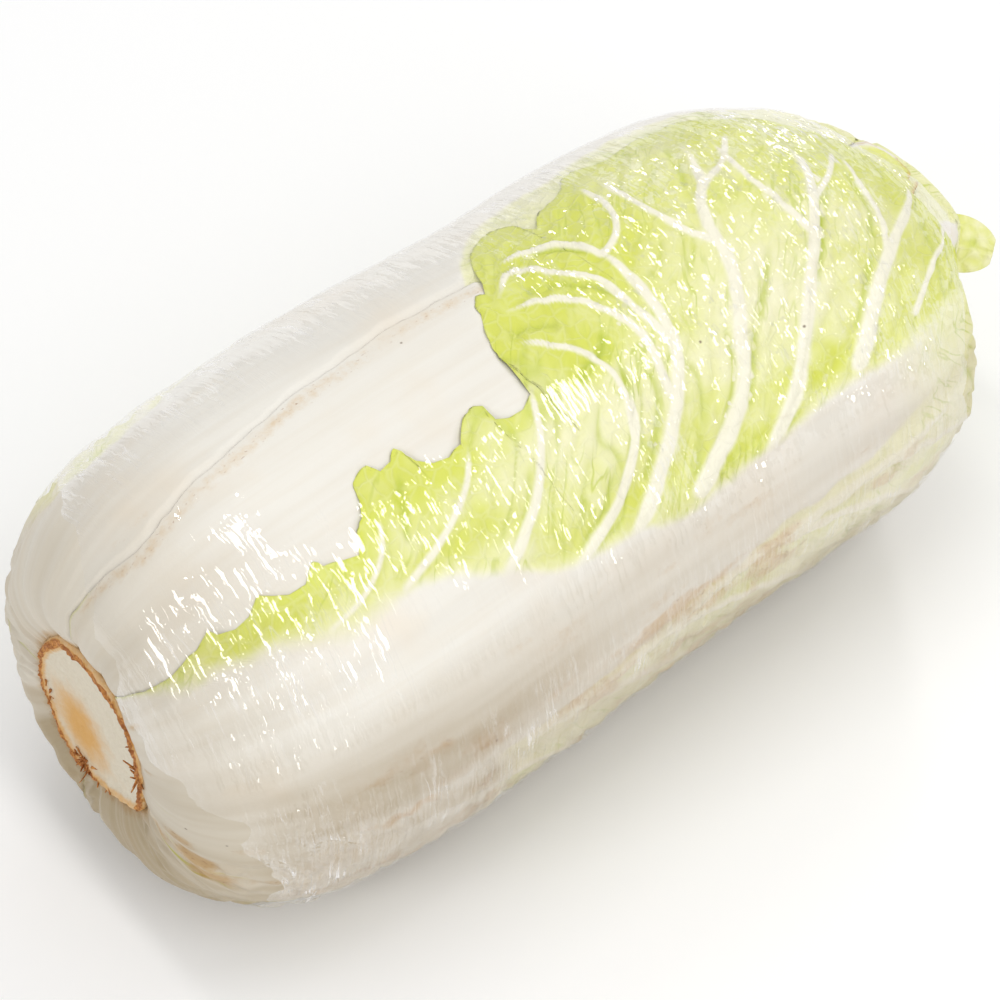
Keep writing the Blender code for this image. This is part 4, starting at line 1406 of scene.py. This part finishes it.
def stem_bark(share, turn):
    """Where the cut face is bark, and where it is the tan border inside it: rings near the outline
    whose place wanders and whose width changes round it."""
    wander = (0.018 * noise(turn * 2.2, share * 0.0, 70)
              + 0.014 * noise(turn * 9.0, share * 0.0 + 3.0, 75))
    at = share + wander
    uneven = noise(turn * 4.0, share * 0.0 + 5.0, 76)
    thick = 0.035 + 0.030 * np.cos(turn - 1.0) + 0.012 * uneven
    torn = window(np.degrees(turn), 268.0, 320.0, 12.0)
    bark = window(at, 0.930 - thick, 0.975, 0.014) * (1.0 - 0.8 * torn)
    return bark, window(at, 0.880 - thick, 1.20, 0.035)


def stem_depth(share, turn, y, z, bark, border):
    """How deep the cut face lies: it is dished and rough, its bark is proud and fibrous, and it
    drops off at its rim."""
    fibre = noise(turn * 26.0 + 3.0 * share, share * 30.0, 71)
    fibre = fibre + 0.6 * noise(turn * 60.0, share * 60.0, 72)
    rough = rough_noise(y / 0.0035, z / 0.0035, 73)
    fine = noise(y / 0.0011, z / 0.0011, 74)
    dish = 0.0012 * (1.0 - share**2) + 0.0004 * rough + 0.00012 * fine
    crest = 0.0008 * border + bark * (0.0005 + 0.0007 * fibre)
    return STUMP_RECESS + dish - crest + 0.0012 * rise(share, 0.975, 1.0)


def make_stem(material):
    """The cut stem: a turned profile whose face is ragged, with a proud fibrous rim. Along the
    profile the radius grows from the middle of the face to the rim, then the side runs back into
    the head and closes there."""
    turn = np.arange(STUMP_COLUMNS) * 2.0 * math.pi / STUMP_COLUMNS
    share = np.concatenate([np.linspace(0.02, 1.0, FACE_ROWS), np.ones(SIDE_ROWS)])[:, None]
    back = np.concatenate([np.zeros(FACE_ROWS), np.linspace(0.05, 1.0, SIDE_ROWS)])[:, None]
    radius = 1.035 * stump_radius(np.degrees(turn)) * share * (1.0 - 0.6 * back)
    y, z = -radius * np.cos(turn), radius * np.sin(turn)
    bark, border = stem_bark(share, turn)
    depth = stem_depth(share, turn, y, z, bark, border) + back * STUMP_DEPTH
    middle = np.array((BUTT_X, *STUMP_PLACE))
    points = with_poles(middle + np.stack([depth, y, z], axis=-1))
    quads, triangles = closed_turned_faces(len(share), STUMP_COLUMNS)
    uv = with_poles(np.stack([y, z], axis=-1))
    stain = np.exp(-((y - 0.0110)**2 / 0.013**2 + (z + 0.012)**2 / 0.014**2))
    fields = {"rim": with_poles(np.maximum(bark, 0.45 * border)), "stain": with_poles(stain)}
    piece = make_piece("cut_stem_face", points, quads, triangles, material, uv, fields)
    orient(piece)
    place_piece(piece, "cut_stem", "cut_stem")


# Tufts of torn fibres: (angle, share of the outline, fibres, length).
FIBRE_TUFTS = (
    (10.0, 0.94, 34, 0.0070), (-112.0, 0.95, 30, 0.0050), (100.0, 0.94, 10, 0.0030),
    (60.0, 0.94, 10, 0.0030), (40.0, 0.94, 8, 0.0028), (200.0, 0.94, 8, 0.0030),
    (-150.0, 0.94, 10, 0.0030), (-85.0, 0.95, 8, 0.0030),
)
FIBRE_WIDTH = 0.00052  # its radius at the root
FIBRE_RINGS, FIBRE_SIDES = 7, 6


def fibre_roots(chance):
    """Where each fibre starts, its length, the way it goes and how it bends, drawn by chance."""
    counts = [tuft[2] for tuft in FIBRE_TUFTS]
    angle, share, length = (np.repeat([tuft[column] for tuft in FIBRE_TUFTS], counts)
                            for column in (0, 1, 3))
    count = len(angle)
    angle = angle + chance.normal(0.0, 4.5, count)
    turn = np.radians(angle)
    radius = share * stump_radius(angle) + chance.normal(0.0, 0.0007, count)
    length = length * chance.uniform(0.40, 0.80, count)
    root = np.stack([np.full(count, BUTT_X + STUMP_RECESS), STUMP_PLACE[0] - radius * np.cos(turn),
                     STUMP_PLACE[1] + radius * np.sin(turn)], axis=-1)
    way = np.stack([chance.uniform(-0.6, 0.0, count), -np.sin(turn), -np.cos(turn)], axis=-1)
    way = way * chance.choice((-1.0, 1.0), (count, 1)) * (-1.0, 1.0, 1.0)
    way = way + chance.normal(0.0, 0.45, (count, 3))
    way /= np.linalg.norm(way, axis=1, keepdims=True)
    bend = chance.normal(0.0, 0.5, (count, 3)) - (0.3, 0.0, 0.0)
    return root, length, way, bend


def make_stem_fibres(material):
    """Torn fibres of the rim: thin tapered tubes, each bent along a random arc from its root, which
    is root + length * (t * way + half of t squared * bend)."""
    root, length, way, bend = fibre_roots(np.random.default_rng(77))
    t = np.linspace(0.0, 1.0, FIBRE_RINGS)[None, :, None]
    spine = root[:, None] + length[:, None, None] * (t * way[:, None] + 0.5 * t**2 * bend[:, None])
    across = np.cross(way, (0.3, 0.5, 0.8))
    across /= np.linalg.norm(across, axis=1, keepdims=True)
    beside = np.cross(way, across)
    turn = (np.arange(FIBRE_SIDES) * 2.0 * math.pi / FIBRE_SIDES)[None, :, None]
    ring = np.cos(turn) * across[:, None] + np.sin(turn) * beside[:, None]
    width = FIBRE_WIDTH * (1.0 - 0.60 * t)
    tubes = spine[:, :, None] + width[..., None] * ring[:, None]
    quads, triangles = closed_turned_faces(FIBRE_RINGS, FIBRE_SIDES)
    points = np.concatenate([with_poles(tube) for tube in tubes])
    firsts = (np.arange(len(tubes)) * (FIBRE_RINGS * FIBRE_SIDES + 2))[:, None, None]
    fields = {"rim": np.full(len(points), 0.8), "stain": np.zeros(len(points))}
    piece = make_piece("stem_fibres", points, (quads[None] + firsts).reshape(-1, 4),
                       (triangles[None] + firsts).reshape(-1, 3), material, points[:, 1:], fields)
    orient(piece)
    place_piece(piece, "cut_stem")


# --- the film ---
FILM_START = (
    (-40, 17), (-20, 16), (-4, 15), (6, 8), (14, 9), (22, -2), (30, -3), (39, -12), (48, -9), (60, -14),
    (72, -7), (84, -5), (104, 8), (122, 17), (139, 25), (160, 22), (180, 20), (225, 17), (270, 14),
    (300, 15), (320, 17),
)
FILM_END = (
    (-40, 284), (-20, 281), (22, 278.5), (45, 293), (65, 304), (80, 294), (94, 284.5), (120, 280),
    (140, 279), (180, 285), (225, 288), (270, 281), (300, 279), (320, 284),
)
FILM_ROWS, FILM_COLUMNS = 420, 224
FILM_CLEARANCE = 0.00035  # over the leaves' outermost surface
FILM_TURN = -40.0  # the angle that its edges are drawn from


def film_turn(angle):
    """An angle as degrees from the one that the film's edges are drawn from."""
    return (angle - FILM_TURN) % 360.0 + FILM_TURN


def film_edge(points, angle, seed):
    """The path of a film edge at an angle, a little uneven."""
    points = np.array(points, float)
    turn = film_turn(angle)
    uneven = 0.0022 * noise(turn / 7.0, turn * 0.0, seed)
    uneven = uneven + 0.0008 * noise(turn / 2.0, turn * 0.0, seed + 1)
    return SIDE_START + 0.001 * spline(points[:, 0], points[:, 1], turn) + uneven


def ridges(x, y, seed, sharp):
    """Thin raised lines where noise, summed from two grids turned apart, passes through zero."""
    both = noise(x, y, seed) + noise(0.8 * x - 0.6 * y + 5.0, 0.6 * x + 0.8 * y, seed + 40)
    return bell(both, 1.4 * sharp)


def film_zones(along, turn):
    """Where the film does what, each from 0 to 1, by millimetres along and degrees round."""
    calm = window(along, 42.0, 150.0, 12.0) * window(turn, 66.0, 106.0, 6.0)
    busy = window(along, -14.0, 66.0, 8.0) * window(turn, 30.0, 74.0, 9.0)
    middle = window(along, 55.0, 182.0, 12.0) * window(turn, 30.0, 74.0, 7.0)
    lobe = window(along, 140.0, 180.0, 10.0) * window(turn, 40.0, 82.0, 8.0)
    gather = bell(along - 26.0, 18.0) * window(turn, -60.0, 15.0, 9.0)
    crest = rise(turn, 104.0, 136.0) * fall(turn, 205.0, 240.0)
    under = fall(turn, -4.0, 24.0)
    tip = window(along, 252.0, 292.0, 8.0) * window(turn, 84.0, 128.0, 10.0)
    blade = window(along, 165.0, 292.0, 10.0) * window(turn, 28.0, 112.0, 8.0)
    return calm, busy, middle, lobe, gather, crest, under, tip, blade


def film_tension(path, angle):
    """Fields for the film's material: how far it is crumpled into long flats and into round ones,
    and how milky it is. Also returns where it is gathered into thick pleats."""
    turn = film_turn(angle)
    along = (path - SIDE_START) * 1000.0
    calm, busy, middle, lobe, gather, crest, under, tip, blade = film_zones(along, turn)
    cluster = rise(rough_noise(path / 0.016, turn * DEGREE / 0.024, 91), -0.35, 0.45)
    held = 0.20 + 0.75 * busy + 0.65 * middle + 0.5 * lobe + 0.75 * blade
    pull = 0.14 + cluster * held + 0.9 * gather + 0.30 * crest + 0.20 * busy
    pull = pull * (1.0 - 0.92 * calm) + 0.30 * under * cluster
    blobs = cluster * (1.0 * blade + 0.7 * lobe)
    blobs = blobs + 0.6 * gather + 0.15 * cluster + 0.35 * blade
    streaks = rise(rough_noise(path / 0.0045, turn * DEGREE / 0.030, 92), -0.1, 0.7)
    milk = 0.010 + 0.22 * crest + 0.03 * gather + 0.02 * under + 0.30 * tip
    milk = milk + 0.04 * busy - 0.01 * calm
    milk = milk + streaks * (0.18 * under + 0.22 * crest + 0.07 * busy + 0.14 * gather)
    return {"crumple": pull, "blobs": blobs, "haze": np.clip(milk, 0.0, 1.0)}, gather


def film_folds(x, y, crumple, gather):
    """How high the film's ridges and pleats stand. The ridges run round the head, long ones and
    short ones, in patches; the pleats lie where it is gathered. Also returns the pleats."""
    drift = 0.004 * rough_noise(x / 0.022, y / 0.030, 84) + 0.25 * np.clip(y - 0.125, 0.0, 0.1)
    long_ridges = (ridges((x + drift) / 0.0115, y / 0.046, 85, 0.13)
                   * rise(noise(x / 0.02, y / 0.03, 86), -0.3, 0.6))
    short_ridges = (ridges((x + drift) / 0.0060, y / 0.022, 87, 0.16)
                    * rise(noise(x / 0.012, y / 0.02, 88), -0.2, 0.5))
    pleats = gather * ridges((x + 0.35 * y) / 0.0075, (y - 0.2 * x) / 0.020, 89, 0.14)
    height = 0.0006 * long_ridges + 0.00035 * short_ridges
    return (0.06 + 0.6 * crumple) * height + 0.0011 * pleats, pleats


def make_film(material):
    """The film: a tube that spans the leaves' outermost surface, pulled into ridges round it. Each
    row of its grid is a share of the way from its start to its end, each column an angle."""
    share, turn = np.meshgrid(np.linspace(0.0, 1.0, FILM_ROWS),
                              np.arange(FILM_COLUMNS) * 360.0 / FILM_COLUMNS - 90.0, indexing="ij")
    start = film_edge(FILM_START, turn, 81)
    end = film_edge(FILM_END, turn, 83)
    path = start + (end - start) * share
    spanned = LAYERS.blurred(LAYERS.spread(LAYERS.surface, 2, np.minimum), 2)
    depth = LAYERS.read(spanned, path, turn) - FILM_CLEARANCE
    fields, gather = film_tension(path, turn)
    lift, pleats = film_folds(path, turn * DEGREE, fields["crumple"], gather)
    points = on_head(path, turn, depth - lift)
    quads = grid_quads(FILM_ROWS, FILM_COLUMNS, wrap=True, flip=True)
    rolled = np.exp(-(path - start) / 0.0007) + np.exp(-(end - path) / 0.0006)
    haze = fields["haze"] + 0.28 * pleats + (0.05 + 0.20 * gather) * rolled
    fields["haze"] = np.clip(haze, 0.0, 1.0)
    piece = make_piece("film", points.reshape(-1, 3), quads, [], material, film_uv(path, turn), fields)
    place_piece(piece, "clear_film", "film_wrap")
    piece.visible_diffuse = False  # its material lets such rays through unchanged, so they skip it
    piece.visible_glossy = False


def film_uv(path, turn):
    """The film's map, a pair per corner, so that it doesn't run backwards where the tube meets."""
    around = np.concatenate([turn, turn[:, :1] + 360.0], axis=1) * DEGREE
    along = np.concatenate([path, path[:, :1]], axis=1)
    pair = np.stack([along, around], axis=-1)
    corners = [pair[:-1, :-1], pair[:-1, 1:], pair[1:, 1:], pair[1:, :-1]]
    return np.stack(corners[::-1], axis=2).reshape(-1, 2)


# --- settings ---
def colour_property(name, description, default):
    """A colour setting."""
    return FloatVectorProperty(name=name, description=description, subtype="COLOR", size=4, min=0.0, max=1.0,
                               default=linear(*default))


class LeafColours(bpy.types.PropertyGroup):
    """Colours of the leaves."""
    blade_pale: colour_property("Blade, pale", "Blade colour where it is palest", (243, 240, 200))
    blade_green: colour_property("Blade, green", "Blade colour where it is greenest", (213, 219, 72))
    veinlet: colour_property("Veinlets", "The fine net of veins in the blade", (242, 241, 205))
    vein: colour_property("Veins", "The big side veins", (245, 241, 218))
    crease: colour_property("Crease", "Folds of the blade", (186, 200, 22))
    flesh: colour_property("Flesh", "The midrib", (237, 233, 223))
    flesh_shade: colour_property("Flesh fibres", "Long fibres of the midrib", (233, 227, 214))
    flesh_warm: colour_property("Flesh, warm", "Warm clouds on the midrib", (235, 225, 208))
    stain: colour_property("Stain", "Bruised and dried places", (214, 176, 112))
    fleck: colour_property("Flecks", "Fine dark flecks inside the stains", (158, 108, 58))
    speck: colour_property("Speck", "Small dark specks", (105, 78, 46))
    # The colour that painted shade multiplies the leaves by, toward the underside and over the base.
    painted_shade: colour_property("Painted shade", "What the leaves are dulled by toward the underside", (185, 171, 146))


class StemColours(bpy.types.PropertyGroup):
    """Colours of the cut stem."""
    pith: colour_property("Pith", "Middle of the cut", (230, 222, 204))
    pith_shade: colour_property("Pith, shaded", "Grain of the middle", (212, 200, 176))
    tan: colour_property("Tan", "Dried stain and inner border", (218, 168, 96))
    bark: colour_property("Rim", "Dark fibres of the rim", (152, 84, 30))
    bark_light: colour_property("Rim, light", "Light fibres of the rim", (216, 152, 80))


class FilmSettings(bpy.types.PropertyGroup):
    """Look of the clear film."""
    colour: colour_property("Colour", "The film's milky share and mirror", (245, 243, 241))
    roughness: FloatProperty(name="Roughness", description="Blur of the film's reflections",
                             default=0.06, min=0.0, max=1.0, subtype="FACTOR")
    mirror: FloatProperty(name="Mirror", default=2.4, min=0.0, max=8.0,
                          description="Reflections of all its turns, in times of one surface's")
    most_mirror: FloatProperty(name="Most mirror", description="The share of mirror at grazing angles",
                               default=0.35, min=0.0, max=1.0, subtype="FACTOR")


class StageSettings(bpy.types.PropertyGroup):
    """Camera, lamps and floor."""
    azimuth: FloatProperty(name="Azimuth", description="Direction the camera looks from",
                           subtype="ANGLE", default=math.radians(-37.0))
    elevation: FloatProperty(name="Elevation", description="Height of the camera over the horizon",
                             subtype="ANGLE", default=math.radians(50.7))
    distance: FloatProperty(name="Distance", description="Camera to the middle of the head",
                            default=1.2, min=0.3, unit="LENGTH")
    lens: FloatProperty(name="Lens", description="Focal length in millimetres", default=146.0, min=20.0)
    floor_colour: colour_property("Floor", "The plain pale floor", (252, 252, 252))
    floor_size: FloatProperty(name="Floor size", description="Side of the floor", default=8.0,
                              unit="LENGTH")
    ambient: FloatProperty(name="Ambient", description="Brightness of the soft surround",
                           default=0.63, min=0.0)


# --- operators ---
def leaf_skin():
    """The one leaf material, made once."""
    made = bpy.data.materials.get("cabbage_leaf")
    return made or leaf_material("cabbage_leaf", bpy.context.scene.cabbage_leaves)


class CABBAGE_OT_front_leaf(bpy.types.Operator):
    """Build the big front leaf"""
    bl_idname = "cabbage.front_leaf"
    bl_label = "Front leaf"

    def execute(self, context):
        make_leaf(front_leaf(), leaf_skin())
        return {"FINISHED"}


class CABBAGE_OT_wrapper_leaves(bpy.types.Operator):
    """Build the other wrapper leaves, under the front leaf"""
    bl_idname = "cabbage.wrapper_leaves"
    bl_label = "Wrapper leaves"

    def execute(self, context):
        for layout in (top_leaf(), back_leaf(), underside_leaf(), rear_low_leaf()):
            make_leaf(layout, leaf_skin())
        return {"FINISHED"}


class CABBAGE_OT_inner_leaves(bpy.types.Operator):
    """Build the browned tip leaf, the inner leaves and the heart"""
    bl_idname = "cabbage.inner_leaves"
    bl_label = "Inner leaves and heart"

    def execute(self, context):
        make_leaf(browned_leaf(), leaf_skin())
        for index, (node, middle, end) in enumerate(INNER_LEAVES):
            make_leaf(inner_leaf(node, middle, end, 700 + 30 * index), leaf_skin())
        make_heart(leaf_skin())
        return {"FINISHED"}


class CABBAGE_OT_curled_tip(bpy.types.Operator):
    """Build the curled tip that stands out past the others"""
    bl_idname = "cabbage.curled_tip"
    bl_label = "Curled tip"

    def execute(self, context):
        make_curled_tip(leaf_skin())
        return {"FINISHED"}


class CABBAGE_OT_stem(bpy.types.Operator):
    """Build the cut stem"""
    bl_idname = "cabbage.stem"
    bl_label = "Cut stem"

    def execute(self, context):
        flesh = stem_material("cut_stem_flesh", context.scene.cabbage_stem)
        make_stem(flesh)
        make_stem_fibres(flesh)
        return {"FINISHED"}


class CABBAGE_OT_film(bpy.types.Operator):
    """Stretch the film over the leaves"""
    bl_idname = "cabbage.film"
    bl_label = "Film"

    def execute(self, context):
        make_film(film_material("clear_film", context.scene.cabbage_film))
        return {"FINISHED"}


# Long softboxes, most of them in an arch across the head, so that the film's ridges catch them:
# (name, direction it stands in, distance, width along the head, length across it, power).
SOFTBOXES = (
    ("softbox_front", (-0.05, -0.84, 0.54), 1.30, 0.12, 0.60, 1.9),
    ("softbox_front_high", (-0.02, -0.55, 0.80), 1.30, 0.10, 0.50, 1.8),
    ("softbox_low", (-0.40, -0.90, 0.16), 1.40, 0.12, 0.24, 0.5),
    ("softbox_top", (-0.08, 0.02, 1.00), 1.30, 0.09, 0.80, 2.4),
    ("softbox_back", (0.95, 0.75, 0.65), 1.40, 0.14, 0.80, 2.6),
    ("softbox_tip", (0.52, -0.29, 0.81), 1.50, 0.16, 0.50, 2.2),
    ("softbox_left", (-0.95, -0.05, 0.55), 1.50, 0.30, 0.40, 2.8),
)


CAMERA_SHIFT = (-0.035, -0.032)


def look_at(item, place, target):
    """Stand an object at a place and turn it to face a target."""
    item.location = place
    item.rotation_mode = "QUATERNION"
    item.rotation_quaternion = (target - place).to_track_quat("-Z", "Y")


def stand_lamp(item, place, target):
    """Stand a lamp facing a target with its width along X."""
    ahead = (target - place).normalized()
    across = Vector((1.0, 0.0, 0.0))
    across = (across - ahead * across.dot(ahead)).normalized()
    upward = across.cross(ahead)
    item.matrix_world = Matrix((across, upward, -ahead)).transposed().to_4x4()
    item.location = place


class CABBAGE_OT_stage(bpy.types.Operator):
    """Set up the floor, the soft lamps and the camera"""
    bl_idname = "cabbage.stage"
    bl_label = "Studio"

    def execute(self, context):
        settings = context.scene.cabbage_stage
        target = Vector((BUTT_X + 0.158, 0.0, AXIS_HEIGHT))
        add_camera(context.scene, settings, target)
        add_lamps(target)
        add_surround(context.scene, settings.ambient)
        add_floor(settings)
        return {"FINISHED"}


def add_camera(scene, settings, target):
    """The camera, on a sphere round the target by its azimuth and elevation."""
    flat = math.cos(settings.elevation)
    back = Vector((math.sin(settings.azimuth) * flat, -math.cos(settings.azimuth) * flat,
                   math.sin(settings.elevation)))
    camera = link_object("camera", bpy.data.cameras.new("camera"))
    camera.data.lens = settings.lens
    camera.data.shift_x, camera.data.shift_y = CAMERA_SHIFT
    look_at(camera, target + back * settings.distance, target)
    scene.camera = camera


def add_lamps(target):
    """The softboxes, all facing the target."""
    for name, direction, distance, width, length, power in SOFTBOXES:
        lamp = bpy.data.lights.new(name, "AREA")
        lamp.shape = "RECTANGLE"
        lamp.size = width
        lamp.size_y = length
        lamp.energy = power
        stand_lamp(link_object(name, lamp), target + Vector(direction).normalized() * distance, target)


def add_surround(scene, brightness):
    """White light from all round, and how far light is followed."""
    world = bpy.data.worlds.new("surround")
    world.use_nodes = True
    background = world.node_tree.nodes["Background"]
    background.inputs[0].default_value = (1.0, 1.0, 1.0, 1.0)
    background.inputs[1].default_value = brightness
    scene.world = world
    scene.view_settings.view_transform = "Standard"
    scene.cycles.max_bounces = 4
    scene.cycles.diffuse_bounces = 2
    scene.cycles.glossy_bounces = 2


def add_floor(settings):
    """A plain pale floor under the head."""
    half = 0.5 * settings.floor_size
    corners = [(-half, -half, 0.0), (half, -half, 0.0), (half, half, 0.0), (-half, half, 0.0)]
    mesh = bpy.data.meshes.new("floor")
    mesh.from_pydata(corners, [], [(0, 1, 2, 3)])
    n = Nodes("floor")
    n.shade(Base_Color=settings.floor_colour, Roughness=0.9, Specular_IOR_Level=0.1)
    mesh.materials.append(n.material)
    link_object("floor", mesh)


OPERATORS = (
    CABBAGE_OT_front_leaf, CABBAGE_OT_wrapper_leaves, CABBAGE_OT_inner_leaves, CABBAGE_OT_curled_tip,
    CABBAGE_OT_stem, CABBAGE_OT_film, CABBAGE_OT_stage,
)


class CABBAGE_PT_panel(bpy.types.Panel):
    """Buttons and settings in the sidebar"""
    bl_label = "Napa cabbage"
    bl_idname = "CABBAGE_PT_panel"
    bl_space_type = "VIEW_3D"
    bl_region_type = "UI"
    bl_category = "Cabbage"

    def draw(self, context):
        for operator in OPERATORS:
            self.layout.operator(operator.bl_idname)
        for group in (context.scene.cabbage_leaves, context.scene.cabbage_stem, context.scene.cabbage_film,
                      context.scene.cabbage_stage):
            box = self.layout.box()
            for key in group.__annotations__:
                box.prop(group, key)


GROUPS = {"cabbage_leaves": LeafColours, "cabbage_stem": StemColours, "cabbage_film": FilmSettings,
          "cabbage_stage": StageSettings}


def register():
    """Make the settings, the operators and the panel known."""
    for cls in (*GROUPS.values(), *OPERATORS, CABBAGE_PT_panel):
        bpy.utils.register_class(cls)
    for key, group in GROUPS.items():
        setattr(bpy.types.Scene, key, PointerProperty(type=group))


def unregister():
    """Take them away again."""
    for key in GROUPS:
        delattr(bpy.types.Scene, key)
    for cls in (CABBAGE_PT_panel, *reversed(OPERATORS), *reversed(GROUPS.values())):
        bpy.utils.unregister_class(cls)


def main():
    """Build everything in order."""
    register()
    for operator in OPERATORS:
        group, call = operator.bl_idname.split(".")
        getattr(getattr(bpy.ops, group), call)()
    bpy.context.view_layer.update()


if __name__ == "__main__":
    main()
